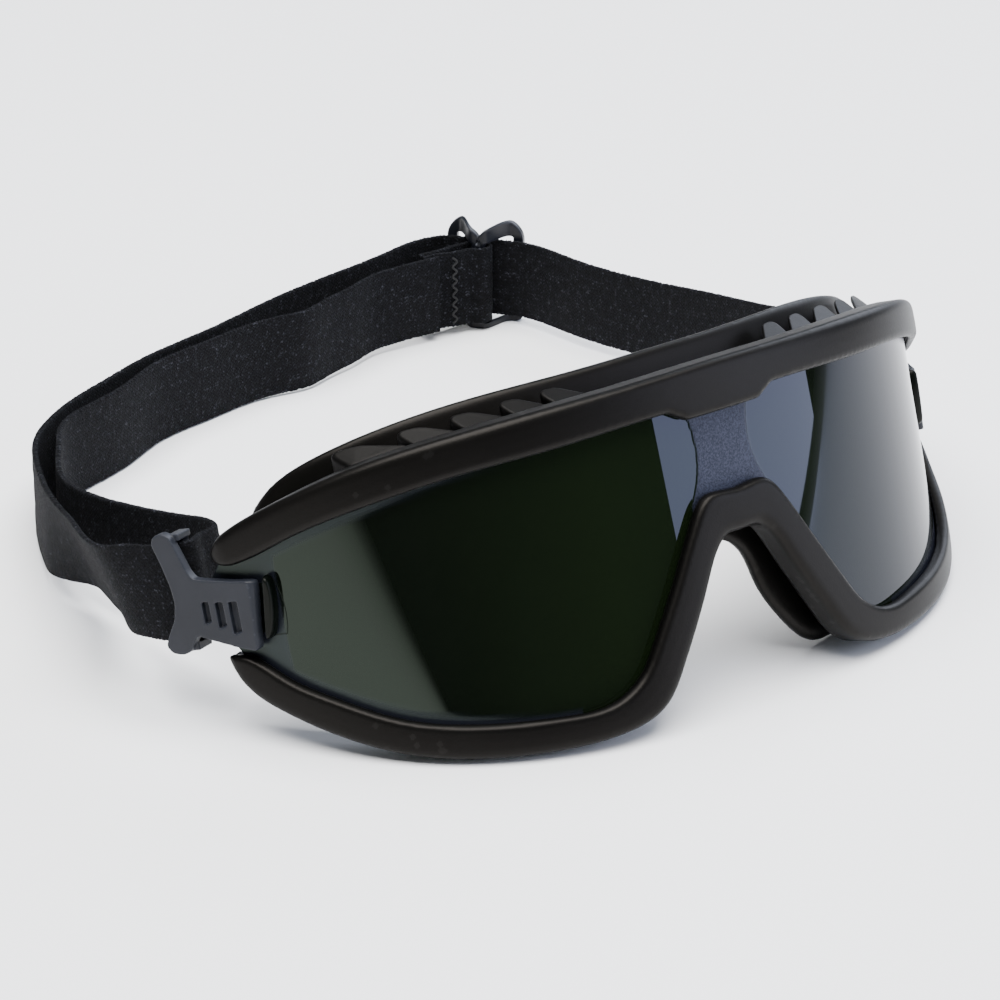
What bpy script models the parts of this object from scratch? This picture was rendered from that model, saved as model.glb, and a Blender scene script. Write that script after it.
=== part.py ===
"""Welding goggles: one-piece dark lens in a soft black frame, with clips, elastic headband and slider.

Metres, +Z up, the viewer's side of the lens faces -Y, X = 0 is the middle of the lens.
Goggle parts are laid out on a developed surface: s runs along the lens curve,
n stands out from the lens face, d runs back towards the face, z runs up the lens.
"""
import bpy
import bmesh
import math
import numpy as np
from mathutils import Vector

MM = 0.001
GAP = 0.3                       # clearance between touching pieces
LEAN = math.radians(17.0)       # the goggle leans back when it stands on its rim
STAND = 42.52                   # height of the lens centre above the floor
SET_BACK = -93.05               # lens centre to the middle of the whole object
BEND = (0.0056, 0.0218, -0.0134)   # lens curvature terms
BEND_REF = 80.0
BEND_END = 108.0                # past this the temples run straight
LENS_T = 2.4
LENS_END = 112.4
RIM_FRONT = 3.0                 # rim stands this far in front of the lens
RIM_BACK = -4.4
LIP_FRONT = -2.8
LIP_BACK = -4.8
CLIP_IN = 1.3
CLIP_OUT = 3.6
STRAP_W = 20.0
STRAP_T = 1.4
BAR_R = 1.1
BAR_S = 118.0
BAR_N = -1.95
SWING_S = 105.5
SWING_Z = -4.0
SLIDER_AT = (83.2, 188.0)
SLIDER_DIR = (0.607, -0.794)
SLIDER_LIFT = 2.0
VENT_S = (26.9, 35.8, 46.3, 57.0, 70.5)
VENT_REACH = 4.6                # hood centre to its outer end
BAND_MID = 1.5                  # height of the band's middle on the clip

# inner edge s,z ; rim outer edge s,z ; face flange s,z,depth
BODY_STATIONS = (
    (0, 19, 0, 27, 0, 29, 20),
    (20, 18.9, 20, 26.7, 20, 28.9, 20),
    (40, 18, 40, 26.2, 40, 28.7, 20),
    (60, 16.9, 60, 24.9, 58, 27, 20),
    (80, 13.6, 80, 21.8, 76, 22.8, 19.5),
    (95, 9.4, 97, 16.5, 88, 16, 19),
    (103, 4.5, 105, 9, 94, 7.5, 18),
    (105.5, -3, 108.5, -3, 96.5, -3, 17),
    (102, -11.5, 105.5, -15, 94, -14, 16),
    (90.7, -22.2, 94, -28.4, 86, -24, 14.5),
    (76, -29, 77, -35.9, 73, -30.5, 13.5),
    (60, -32.7, 61, -39.5, 58, -35, 13),
    (46, -34.4, 46, -41, 45, -37, 12.5),
    (36, -34.3, 34, -40.8, 33, -38.8, 12),
    (29, -30.5, 24.5, -37.6, 22.5, -38.5, 11.5),
    (25.2, -25.5, 19.3, -31, 16.5, -33, 11.5),
    (17.4, -13, 11.2, -17.5, 10.5, -22, 12),
    (11.5, -3.2, 6.6, -10, 7, -14.5, 11.5),
    (8, 0.6, 4.2, -8.2, 3.5, -12, 11),
    (0, 0.6, 0, -8, 0, -11.3, 11),
)
TOP_RIM = (
    (0, 19, 0, 27),
    (20, 18.9, 20, 26.7),
    (40, 18, 40, 26.2),
    (60, 16.9, 60, 24.9),
    (80, 13.6, 80, 21.8),
    (95, 9.4, 97, 16.7),
    (104, 6.4, 106, 13.1),
    (110.2, 5.3, 110.8, 10.4),
)
LOW_RIM_END = (
    (109.8, -11.7, 111.2, -12.7),
    (105.6, -12.8, 108, -18.4),
    (98.3, -18, 101.5, -24),
)
BROW = ((9.2, 16.6), (13.4, 19.0))

# headband centre line: X, Y, lift of the lower edge above the floor
INNER_PLY = (
    (66.6, 184.6, 2.0), (62.0, 185.2, 1.9), (55.2, 186.0, 1.6), (47.5, 186.0, 1.3), (39.5, 183.2, 1.1),
    (31.0, 181.0, 0.9), (22.5, 178.6, 0.6), (14.0, 179.6, 0.4), (4.0, 179.6, 0.2), (-6.0, 177.6, 0.2),
    (-22.8, 173.9, 0.2), (-36.5, 166.8, 0.2), (-48.0, 162.4, 0.2), (-57.0, 158.4, 0.3), (-63.5, 151.6, 0.7),
    (-68.4, 144.0, 1.2), (-75.6, 132.6, 2.6), (-80.4, 121.0, 4.2), (-82.4, 108.5, 6.3),
    (-82.0, 91.5, 9.2), (-80.2, 75.5, 12.2), (-80.2, 66.0, 14.6), (-82.8, 59.4, None), (-88.2, 56.9, None),
)
OUTER_PLY = (
    (-97.6, 61.2, None), (-99.9, 65.2, 14.8), (-101.9, 70.5, 13.4), (-101.6, 77.0, 12.1),
    (-99.4, 84.6, 10.6), (-94.2, 98.5, 8.0), (-89.6, 111.8, 5.8), (-83.4, 126.4, 3.6),
    (-76.4, 140.4, 1.8), (-67.0, 154.6, 0.5), (-58.0, 162.2, 0.2), (-49.5, 167.2, 0.2),
    (-40.7, 171.0, 0.2), (-22.4, 178.3, 0.2), (-1.8, 183.4, 0.2),
    (21.5, 189.8, 0.5), (42.4, 193.0, 1.2), (58.0, 195.2, 1.7), (70.0, 197.0, 2.0),
)
RIGHT_RUN = (
    (90.8, 171.5, 2.0), (91.6, 162.0, 2.0), (94.4, 148.0, 2.0), (97.0, 136.0, 2.6), (98.6, 122.0, 4.3),
    (98.8, 110.0, 6.0), (98.0, 98.0, 8.2), (98.4, 88.0, 10.2), (100.6, 79.0, 12.0),
    (101.9, 70.5, 13.6), (99.9, 65.2, 14.8), (97.6, 61.2, None),
)


# ---------------------------------------------------------------- geometry helpers

def curve_table():
    step = 0.25
    s = np.arange(0.0, 140.0 + step, step)
    c = np.minimum(s, BEND_END)
    turn = BEND[0] * c + BEND[1] * (c / BEND_REF) ** 2 * c / 3.0 + BEND[2] * (c / BEND_REF) ** 4 * c / 5.0
    mid = 0.5 * (turn[1:] + turn[:-1])
    x = np.concatenate([[0.0], np.cumsum(np.cos(mid) * step)])
    y = np.concatenate([[0.0], np.cumsum(np.sin(mid) * step)])
    return s, x, y, turn


TABLE = curve_table()


def on_lens(s, n, d, z):
    """Point at arc length s, n out from the lens face, d straight back, z up the lens."""
    side = -1.0 if s < 0 else 1.0
    a = abs(s)
    x = np.interp(a, TABLE[0], TABLE[1])
    y = np.interp(a, TABLE[0], TABLE[2])
    turn = np.interp(a, TABLE[0], TABLE[3])
    x = x + n * math.sin(turn)
    y = y - n * math.cos(turn) + d
    return lean(side * x, y, z)


def lean(x, y, z):
    """Goggle axes to standing axes, millimetres."""
    wy = y * math.cos(LEAN) + z * math.sin(LEAN)
    wz = z * math.cos(LEAN) - y * math.sin(LEAN) + STAND
    return Vector((x, wy, wz))


def spline(knots, values, where):
    """Natural cubic through the values."""
    t = np.array(knots, float)
    v = np.array(values, float)
    h = np.diff(t)
    count = len(t)
    a = np.zeros((count, count))
    b = np.zeros((count, v.shape[1]))
    a[0, 0] = 1.0
    a[-1, -1] = 1.0
    for i in range(1, count - 1):
        a[i, i - 1] = h[i - 1]
        a[i, i] = 2.0 * (h[i - 1] + h[i])
        a[i, i + 1] = h[i]
        b[i] = 6.0 * ((v[i + 1] - v[i]) / h[i] - (v[i] - v[i - 1]) / h[i - 1])
    m = np.linalg.solve(a, b)
    out = []
    for w in where:
        i = int(min(max(np.searchsorted(t, w) - 1, 0), count - 2))
        p = (t[i + 1] - w) / h[i]
        q = 1.0 - p
        g = h[i] * h[i] / 6.0
        out.append(p * v[i] + q * v[i + 1] + g * ((p ** 3 - p) * m[i] + (q ** 3 - q) * m[i + 1]))
    return np.array(out)


def lengths(points, cols):
    p = np.array(points, float)[:, cols]
    step = np.sqrt((np.diff(p, axis=0) ** 2).sum(1))
    return np.concatenate([[0.0], np.cumsum(step)])


def flip(row):
    out = list(row)
    for i in (0, 2, 4):
        if i < len(out):
            out[i] = -out[i]
    return tuple(out)


def loft(rings, ring_closed=True, loop=False):
    """Skin a list of equal rings; ends are capped unless the rings form a loop."""
    bm = bmesh.new()
    rows = [[bm.verts.new(p) for p in ring] for ring in rings]
    count = len(rows)
    size = len(rows[0])
    last = count if loop else count - 1
    for i in range(last):
        a = rows[i]
        b = rows[(i + 1) % count]
        for j in range(size if ring_closed else size - 1):
            k = (j + 1) % size
            bm.faces.new((a[j], a[k], b[k], b[j]))
    if not loop:
        bm.faces.new(rows[0])
        bm.faces.new(list(reversed(rows[-1])))
    bmesh.ops.recalc_face_normals(bm, faces=bm.faces)
    return bm


def finish(bm, name, pivot=(0.0, 0.0, 0.0)):
    """Store a bmesh built in millimetres as an object in metres."""
    bmesh.ops.scale(bm, vec=(MM, MM, MM), verts=bm.verts)
    bmesh.ops.translate(bm, vec=Vector((0.0, SET_BACK * MM, 0.0)) - Vector(pivot), verts=bm.verts)
    bmesh.ops.recalc_face_normals(bm, faces=bm.faces)
    mesh = bpy.data.meshes.new(name)
    bm.to_mesh(mesh)
    bm.free()
    obj = bpy.data.objects.new(name, mesh)
    obj.location = pivot
    PARTS.objects.link(obj)
    return obj


def to_cutters(obj):
    PARTS.objects.unlink(obj)
    CUTTERS.objects.link(obj)
    obj.hide_render = True
    obj.display_type = 'WIRE'


def boolean(obj, other, kind):
    mod = obj.modifiers.new(kind.lower() + "_" + other.name, 'BOOLEAN')
    mod.operation = kind
    mod.solver = 'EXACT'
    mod.object = other
    to_cutters(other)


def bevel(obj, width, segments=2, angle=35.0):
    mod = obj.modifiers.new("edge_round", 'BEVEL')
    mod.width = width * MM
    mod.segments = segments
    mod.limit_method = 'ANGLE'
    mod.angle_limit = math.radians(angle)


def paint(obj, name, colour, rough, transmission=0.0):
    mat = bpy.data.materials.get(name)
    if mat is None:
        mat = bpy.data.materials.new(name)
        mat.use_nodes = True
        shader = mat.node_tree.nodes["Principled BSDF"]
        shader.inputs["Base Color"].default_value = (*colour, 1.0)
        shader.inputs["Roughness"].default_value = rough
        shader.inputs["Transmission Weight"].default_value = transmission
    obj.data.materials.append(mat)
    return obj


def chamfered(ring, cut):
    """Cut every corner of a ring of points so it reads as rounded."""
    out = []
    count = len(ring)
    for i in range(count):
        here = ring[i]
        c = cut[i]
        if c <= 0.0:
            out.append(here)
            continue
        for other in (ring[i - 1], ring[(i + 1) % count]):
            step = other - here
            size = step.length
            out.append(here + step * (min(c, 0.4 * size) / size))
    return out


# ---------------------------------------------------------------- soft frame

def body_rows(per_half):
    """Evenly spaced stations right round the face opening."""
    rows = list(BODY_STATIONS)
    wide = [flip(rows[2]), flip(rows[1])] + rows + [flip(rows[-2]), flip(rows[-3])]
    knots = 0.5 * lengths(wide, [2, 3]) + 0.5 * lengths(wide, [4, 5])
    start = knots[2]
    end = knots[-3]
    where = np.linspace(start, end, per_half)
    half = spline(knots, wide, where)
    left = [np.array(flip(r)) for r in half[1:-1][::-1]]
    return list(half) + left


def body_section(row):
    si, zi, so, zo, sf, zf, df = row
    ds = so - si
    dz = zo - zi

    def near(frac, n, d=0.0):
        return on_lens(si + frac * ds, n, d, zi + frac * dz)

    def far(frac, d):
        return on_lens(sf + frac * ds, 0.0, d, zf + frac * dz)

    floor_front = near(0.06, -6.2)
    floor_back = floor_front.lerp(far(-1.15, df - 3.6), 0.86)
    ring = [
        near(-0.24, LIP_FRONT),
        near(0.92, LIP_FRONT),
        near(0.92, LIP_BACK),
        floor_front,
        floor_back,
        far(-0.12, df - 2.7),
        far(0.0, df - 2.0),
        far(-0.04, df),
        far(-1.1, df + 0.7),
        far(-1.32, df - 1.6),
        near(-0.24, -5.6),
    ]
    return chamfered(ring, [0, 0, 0.7, 1.6, 1.8, 0.5, 0.5, 0.5, 0.8, 0.8, 1.5])


def rim_section(si, zi, so, zo, drop, shrink=1.0):
    ds = so - si
    dz = zo - zi

    def at(frac, n, lower=0.0):
        f = 0.55 + (frac - 0.55) * shrink
        m = n if n <= GAP else GAP + (n - GAP) * (0.35 + 0.65 * shrink)
        return on_lens(si + f * ds, m, 0.0, zi + f * dz - lower)

    return [
        at(0.0, GAP, drop),
        at(0.0, 2.1, drop),
        at(0.04, 2.7, drop),
        at(0.12, RIM_FRONT, drop),
        at(0.80, RIM_FRONT),
        at(0.93, 2.6),
        at(1.0, 1.7),
        at(1.0, -3.2),
        at(0.93, RIM_BACK),
        at(0.48, RIM_BACK),
        at(0.48, GAP),
    ]


def brow_drop(s):
    full = 19.0 - BROW[0][1]
    t = (abs(s) - BROW[0][0]) / (BROW[1][0] - BROW[0][0])
    return full * (1.0 - min(max(t, 0.0), 1.0))


def top_rim_rows(per_half):
    rows = list(TOP_RIM)
    wide = [flip(rows[2]), flip(rows[1])] + rows
    knots = lengths(wide, [2, 3])
    stops = list(np.linspace(knots[2], knots[-1], per_half))
    stops += [knots[2] + BROW[0][0], knots[2] + BROW[1][0], knots[-1] - 0.5, knots[-1] - 1.4]
    return spline(knots, wide, sorted(stops))


def top_rim_mesh(per_half):
    half = top_rim_rows(per_half)
    rings = []
    for row in [np.array(flip(r)) for r in half[1:][::-1]] + list(half):
        end = max(0.0, 1.0 - (110.6 - abs(row[2])) / 3.4)
        shrink = math.sqrt(max(0.0, 1.0 - (0.93 * end) ** 2))
        rings.append(rim_section(row[0], row[1], row[2], row[3], brow_drop(row[0]), shrink))
    return loft(rings)


def low_rim_rows(per_half):
    rows = list(LOW_RIM_END) + [r[:4] for r in BODY_STATIONS[9:]]
    wide = rows + [flip(rows[-2]), flip(rows[-3])]
    knots = 0.5 * lengths(wide, [2, 3]) + 0.5 * lengths(wide, [0, 1])
    stops = list(np.linspace(knots[0], knots[-3], per_half))
    stops += [knots[0] + 0.5, knots[0] + 1.4]
    return spline(knots, wide, sorted(stops))


def low_rim_mesh(per_half):
    half = low_rim_rows(per_half)
    rings = []
    for row in list(half) + [np.array(flip(r)) for r in half[:-1][::-1]]:
        end = max(0.0, 1.0 - (111.2 - abs(row[2])) / 3.0)
        shrink = math.sqrt(max(0.0, 1.0 - (0.93 * end) ** 2))
        rings.append(rim_section(row[0], row[1], row[2], row[3], 0.0, shrink))
    return loft(rings)


def block(s0, s1, d0, d1, z0, z1, n=0.0, steps=3):
    """Box on the developed surface."""
    rings = []
    for s in np.linspace(s0, s1, steps):
        rings.append([on_lens(s, n, d, z) for d, z in ((d0, z0), (d1, z0), (d1, z1), (d0, z1))])
    return loft(rings)


def merge(target, source):
    """Append one bmesh to another."""
    mesh = bpy.data.meshes.new("merge_tmp")
    source.to_mesh(mesh)
    source.free()
    target.from_mesh(mesh)
    bpy.data.meshes.remove(mesh)


def ridge(s):
    q = (abs(s) / 80.0) ** 2
    return 26.9 - 1.6 * q - 3.4 * q * q


def build_frame():
    rings = [body_section(r) for r in body_rows(62)]
    body = finish(loft(rings, loop=True), "frame_body")
    top = finish(top_rim_mesh(44), "frame_top_rim_form")
    low = finish(low_rim_mesh(62), "frame_low_rim_form")
    boolean(body, top, 'UNION')
    boolean(body, low, 'UNION')
    ports = bmesh.new()
    for side in (-1, 1):
        for s in VENT_S:
            top_z = ridge(s) - 1.0
            merge(ports, block(side * (s - 2.8), side * (s + 2.8), 6.2, 12.0, top_z - 16.0, top_z - 4.0))
    boolean(body, finish(ports, "vent_port_cutter"), 'DIFFERENCE')
    return paint(body, "soft_black_frame", (0.028, 0.027, 0.026), 0.55)


# ---------------------------------------------------------------- lens and vents

LENS_TUCK = 0.40                # how far into the rim groove the lens reaches


def lens_edge_tables():
    up = [(r[0] + LENS_TUCK * (r[2] - r[0]), r[1] + LENS_TUCK * (r[3] - r[1])) for r in top_rim_rows(44)]
    up = [p for p in up if p[0] < 108.4] + [(109.6, 6.9), (110.9, 5.2), (112.4, 3.4)]
    low = [(r[0] + LENS_TUCK * (r[2] - r[0]), r[1] + LENS_TUCK * (r[3] - r[1])) for r in low_rim_rows(62)]
    low = sorted(p for p in low if p[0] < 107.6) + [(109.2, -10.9), (110.9, -9.4), (112.4, -7.6)]
    return np.array(up).T, np.array(low).T


LENS_TABLES = lens_edge_tables()


def lens_edges(s):
    """Upper and lower edge of the lens blank at arc length s."""
    up, low = LENS_TABLES
    return np.interp(abs(s), up[0], up[1]), np.interp(abs(s), low[0], low[1])


def build_lens():
    extra = [3.5, 6.4, 9.4, 108.0, 109.6, 110.9, 112.4]
    stops = sorted(set(list(np.round(np.linspace(0.0, 106.0, 46), 2)) + extra))
    full = [-s for s in reversed(stops[1:])] + stops
    rings = []
    for s in full:
        top, low = lens_edges(s)
        ring = [(low, -LENS_T), (low, -0.35), (low + 0.35, 0.0)]
        ring += [(top - 0.35, 0.0), (top, -0.35), (top, -LENS_T)]
        rings.append([on_lens(s, n, 0.0, z) for z, n in ring])
    return paint(finish(loft(rings), "lens"), "shade_green_lens", (0.012, 0.03, 0.016), 0.06, 0.0)


def hood_roof(s, d):
    """Roof height of a vent hood: level with the ridge at the back, dipping to the rim."""
    return ridge(s) + 0.9 - 0.53 * (12.6 - d)


def build_vent(side, index):
    """Scale-shaped vent hood: closed outside and towards the rim, open behind towards the middle."""
    s0 = VENT_S[index]
    end = s0 + VENT_REACH
    base = ridge(s0) - 5.9 - 0.15 * (s0 / 70.0) ** 2
    turn = float(np.interp(s0, TABLE[0], TABLE[3]))
    front = 5.0 / math.cos(turn) + 1.5
    reach = VENT_S[index] - VENT_S[index - 1] + 0.4 if index else 9.3
    plan = [(end - 0.9, front), (end - reach + 0.3, front), (end - reach, front + 0.9),
            (end - 0.45 * reach, 13.0), (end - 1.3, 13.2), (end - 0.4, 12.7), (end, 11.6)]
    hollow = [(end - 2.0, front + 1.1), (end - reach + 2.7, front + 1.1), (end - 0.9 * reach, 13.9),
              (end - 2.2, 13.9)]

    def inset(points, much):
        cs = sum(p[0] for p in points) / len(points)
        cd = sum(p[1] for p in points) / len(points)
        return [(s + (cs - s) * much, d + (cd - d) * much) for s, d in points]

    def ring(points, drop, level=None):
        levels = [hood_roof(s, d) - drop if level is None else level for s, d in points]
        return [on_lens(side * s, 0.0, d, z) for (s, d), z in zip(points, levels)]

    side_name = "left" if side < 0 else "right"
    rings = [ring(plan, 0.0, base), ring(plan, 0.8)]
    rings += [ring(inset(plan, 0.05), 0.25), ring(inset(plan, 0.16), 0.0)]
    hood = finish(loft(rings), "vent_hood_%s_%d" % (side_name, index + 1))
    core = loft([ring(hollow, 0.0, base - 0.6), ring(hollow, 1.3)])
    core = finish(core, "vent_core_%s_%d" % (side_name, index + 1))
    boolean(hood, core, 'DIFFERENCE')
    return paint(hood, "vent_black", (0.035, 0.034, 0.033), 0.5)


# ---------------------------------------------------------------- clips

CLIP_OUTLINE = (
    (100.8, 2.9), (102.6, -11.4), (107.5, -10.1), (113.4, -8.1), (115.8, -7.2),
    (116.7, -8.4), (117.9, -10.3), (119.7, -10.9), (122.1, -10.4), (123.3, -8.8), (122.3, -6.8),
    (120.3, -3.6), (119.5, -0.2), (119.9, 3.4), (121.1, 8.2), (122.3, 12.0), (121.6, 13.5),
    (119.6, 14.1), (117.9, 13.1), (116.7, 9.6), (115.4, 5.8), (114.4, 4.3), (112.0, 3.9), (106.0, 3.2),
)
CLIP_SLOTS = ((112.7, -5.0, -0.5, 0.75), (109.6, -6.1, -0.8, 0.85), (106.5, -7.5, -0.9, 0.95))


def build_clip(side, pivot):
    name = "strap_clip_left" if side < 0 else "strap_clip_right"

    def layer(n, front, inset):
        out = []
        for s, z in CLIP_OUTLINE:
            lead = max(0.0, 1.0 - (s - 100.8) / 2.2)
            out.append(on_lens(side * (s + front * lead), n, 0.0, z * (1.0 - inset)))
        return out

    rings = [layer(CLIP_IN, 0.0, 0.0), layer(2.2, 0.0, 0.0), layer(CLIP_OUT, 1.3, 0.0)]
    clip = finish(loft(rings), name, pivot)
    bevel(clip, 0.55)
    bar = bmesh.new()
    rings = []
    for z in (-9.9, 12.9):
        ring = []
        for k in range(14):
            ang = 2.0 * math.pi * k / 14.0
            along = BAR_S + BAR_R * math.cos(ang)
            ring.append(on_lens(side * along, BAR_N + BAR_R * math.sin(ang), 0.0, z))
        rings.append(ring)
    merge(bar, loft(rings))
    bar_obj = finish(bar, name + "_bar_form", pivot)
    lugs = bmesh.new()
    for z0, z1 in ((-10.5, -8.9), (11.9, 13.3)):
        rings = []
        for s in (BAR_S - 1.25, BAR_S + 1.25):
            rings.append([on_lens(side * s, n, 0.0, z) for n, z in
                          ((BAR_N - 1.3, z0), (2.0, z0), (2.0, z1), (BAR_N - 1.3, z1))])
        merge(lugs, loft(rings))
    lug_obj = finish(lugs, name + "_lug_form", pivot)
    slots = bmesh.new()
    for s, z0, z1, w in CLIP_SLOTS:
        rings = []
        for n in (2.3, 4.4):
            rings.append([on_lens(side * (s + ds), n, 0.0, z) for ds, z in
                          ((-w, z0 + 0.5), (w, z0), (w, z1), (-w, z1))])
        merge(slots, loft(rings))
    boolean(clip, bar_obj, 'UNION')
    boolean(clip, lug_obj, 'UNION')
    boolean(clip, finish(slots, name + "_slot_cutter", pivot), 'DIFFERENCE')
    return paint(clip, "slate_clip", (0.075, 0.085, 0.10), 0.45)


def boss_line(z):
    """Rear edge of the clip boss, parallel to the front of the clip."""
    return 100.3 - 0.126 * (z + 3.0)


def build_anchor(side):
    """Boss on the lens in front of the clip, with a thin tongue under the clip."""
    name = "clip_anchor_left" if side < 0 else "clip_anchor_right"
    nose = []
    for k in range(11):
        ang = math.pi * k / 10.0
        z = -3.0 + 6.4 * math.cos(ang)
        nose.append((boss_line(z) - 2.0 * math.sin(ang) ** 0.7, z))
    nose += [(boss_line(z) + 0.2, z) for z in (-8.9, -4.0, 2.6)]

    def layer(n, inset):
        out = []
        for s, z in nose:
            mid = boss_line(z) - 0.8
            out.append(on_lens(side * (s + (mid - s) * 0.45 * inset), n, 0.0,
                               -3.0 + (z + 3.0) * (1.0 - inset / 6.4)))
        return out

    boss = finish(loft([layer(GAP, 0.0), layer(2.1, 0.0), layer(2.8, 0.35), layer(3.1, 1.0)]), name)
    tongue = []
    for n in (GAP, 0.7):
        tongue.append([on_lens(side * s, n, 0.0, z) for s, z in
                       ((110.0, -7.4), (110.0, 1.6), (99.3, 1.8), (100.5, -8.2), (102.6, -8.2))])
    boolean(boss, finish(loft(tongue), name + "_tongue_form"), 'UNION')
    return paint(boss, "anchor_green_black", (0.012, 0.02, 0.014), 0.2)


# ---------------------------------------------------------------- headband

def slider_point(u, v):
    ux, uy = SLIDER_DIR
    return SLIDER_AT[0] + u * ux - v * uy, SLIDER_AT[1] + u * uy + v * ux


def bar_plan(side):
    """Middle of the clip bar, seen from above, at the height of the strap."""
    p = on_lens(side * BAR_S, BAR_N, 0.0, 2.0)
    return p.x, p.y


def left_splay(x, y):
    """Outward lean of the outer ply where it bends round at the left."""
    rise = min(max((y - 58.0) / 26.0, 0.0), 1.0)
    fall = min(max((122.0 - y) / 24.0, 0.0), 1.0)
    ease = rise * rise * (3.0 - 2.0 * rise) * fall * fall * (3.0 - 2.0 * fall)
    return math.radians(23.0) * ease if x < -85.5 else 0.0


def ribbon(points, name, pivot, width=STRAP_W, thick=STRAP_T, spacing=2.4):
    """Flat band standing on edge along a plan path; near the clips it leans with the bar."""
    pts = np.array(points, float)
    knots = lengths(pts, [0, 1])
    count = max(8, int(knots[-1] / spacing))
    where = set(np.linspace(0.0, knots[-1], count))
    path = spline(knots, pts, sorted(where))
    path = tighten(path)
    bm_rings = []
    for i, p in enumerate(path):
        a = path[max(0, i - 1)]
        b = path[min(len(path) - 1, i + 1)]
        tangent = Vector((b[0] - a[0], b[1] - a[1], 0.0)).normalized()
        side = Vector((tangent.y, -tangent.x, 0.0))
        tilt = LEAN * min(max((100.0 - p[1]) / 40.0, 0.0), 1.0)
        splay = left_splay(p[0], p[1])
        up = Vector((-math.sin(splay), math.sin(tilt), math.cos(tilt))).normalized()
        mid = Vector((p[0] + 0.5 * STRAP_W * math.sin(splay), p[1], p[2] + 0.5 * STRAP_W))
        h = 0.5 * width
        t = 0.5 * thick
        section = ((-t, -h + 0.4), (-t + 0.4, -h), (t - 0.4, -h), (t, -h + 0.4),
                   (t, h - 0.4), (t - 0.4, h), (-t + 0.4, h), (-t, h - 0.4))
        bm_rings.append([mid + side * x + up * z for x, z in section])
    return finish(loft(bm_rings), name, pivot)


def tighten(path):
    """Drop stations that sit nearly on top of each other."""
    out = [path[0]]
    for p in path[1:]:
        if math.hypot(p[0] - out[-1][0], p[1] - out[-1][1]) > 0.25:
            out.append(p)
    return np.array(out)


def clip_lift(y):
    """Lift of the band's lower edge that keeps it centred between the clip lugs."""
    return STAND - 0.5 * STRAP_W - (y * math.sin(LEAN) - BAND_MID) / math.cos(LEAN)


def round_bar(cx, cy, radius, start, end, lift, steps):
    out = []
    for k in range(steps + 1):
        ang = math.radians(start + (end - start) * k / steps)
        y = cy + radius * math.sin(ang)
        out.append((cx + radius * math.cos(ang), y, clip_lift(y) if lift is None else lift))
    return out


def build_strap(pivot):
    """One elastic band: inner ply, left clip bar, outer ply, slider, right run, right clip bar."""
    r = BAR_R + GAP + 0.5 * STRAP_T + 0.05
    lx, ly = bar_plan(-1)
    rx, ry = bar_plan(1)
    path = list(INNER_PLY)
    path += round_bar(lx, ly, r, -65.0, -150.0, None, 5)
    path += list(OUTER_PLY)
    for u, v in ((-9.0, -0.25), (-4.5, -0.05), (0.0, 0.0), (4.5, -0.05), (9.0, -0.25)):
        x, y = slider_point(u, v)
        path.append((x, y, SLIDER_LIFT))
    path += list(RIGHT_RUN)
    path += round_bar(rx, ry, r, -30.0, -140.0, None, 5)
    path += [(rx - 4.4, ry + 3.2, None), (rx - 2.0, ry + 9.6, 14.9), (rx + 1.6, ry + 15.0, 13.6),
             (rx + 2.4, ry + 22.0, 12.0), (rx + 2.0, ry + 30.0, 10.4)]
    path = [(x, y, clip_lift(y) if lift is None else lift) for x, y, lift in path]
    return paint(ribbon(path, "elastic_strap", pivot), "black_elastic", (0.02, 0.021, 0.026), 0.9)


def build_sewn_loop(pivot):
    """Short sewn end of the band, turned round the middle bar of the slider."""
    cx, cy = slider_point(0.0, -4.75)
    facing = math.degrees(math.atan2(SLIDER_DIR[1], SLIDER_DIR[0]))
    r = 1.75 + GAP + 0.5 * STRAP_T
    path = [(63.4, 186.9, 2.0), (67.5, 186.5, 2.0), (72.5, 185.0, 2.0)]
    path += round_bar(cx, cy, r, facing - 95.0, facing + 95.0, SLIDER_LIFT, 9)
    path += [(74.6, 188.6, 2.0), (68.6, 188.4, 2.0), (63.4, 188.7, 2.0)]
    loop = ribbon(path, "strap_sewn_loop", pivot, spacing=1.2)
    return paint(loop, "black_elastic", (0.02, 0.021, 0.026), 0.9)


def thread_rows(points, name, pivot):
    """Bar tack: a zigzag of thread standing up the band."""
    path = bpy.data.curves.new(name, 'CURVE')
    path.dimensions = '3D'
    path.bevel_depth = 0.28 * MM
    path.bevel_resolution = 1
    path.use_fill_caps = True
    line = path.splines.new('POLY')
    line.points.add(len(points) - 1)
    for i, p in enumerate(points):
        where = Vector((p[0] * MM, (p[1] + SET_BACK) * MM, p[2] * MM)) - Vector(pivot)
        line.points[i].co = (*where, 1.0)
    obj = bpy.data.objects.new(name, path)
    obj.location = pivot
    PARTS.objects.link(obj)
    mat = bpy.data.materials.get("tack_thread") or bpy.data.materials.new("tack_thread")
    mat.use_nodes = True
    shader = mat.node_tree.nodes["Principled BSDF"]
    shader.inputs["Base Color"].default_value = (0.03, 0.03, 0.035, 1.0)
    shader.inputs["Roughness"].default_value = 0.8
    path.materials.append(mat)
    return obj


def build_tacks(pivot, slider_pivot):
    left = []
    for k in range(15):
        x = 71.2 + (0.5 if k % 2 else -0.5)
        y = 184.10 - 0.30 * (x - 71.2)
        left.append((x, y, SLIDER_LIFT + 1.4 + k * 1.23))
    thread_rows(left, "bar_tack_slider", slider_pivot)
    rx, ry = bar_plan(1)
    right = []
    for k in range(15):
        h = 1.6 + k * 1.2
        x = rx + 1.15
        y = ry + 25.0 + (0.5 if k % 2 else -0.5)
        tilt = LEAN * min(max((100.0 - y) / 40.0, 0.0), 1.0)
        z = 11.4 + 10.0 + (h - 10.0) * math.cos(tilt)
        right.append((x, y + (h - 10.0) * math.sin(tilt), z))
    thread_rows(right, "bar_tack_right", pivot)


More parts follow.
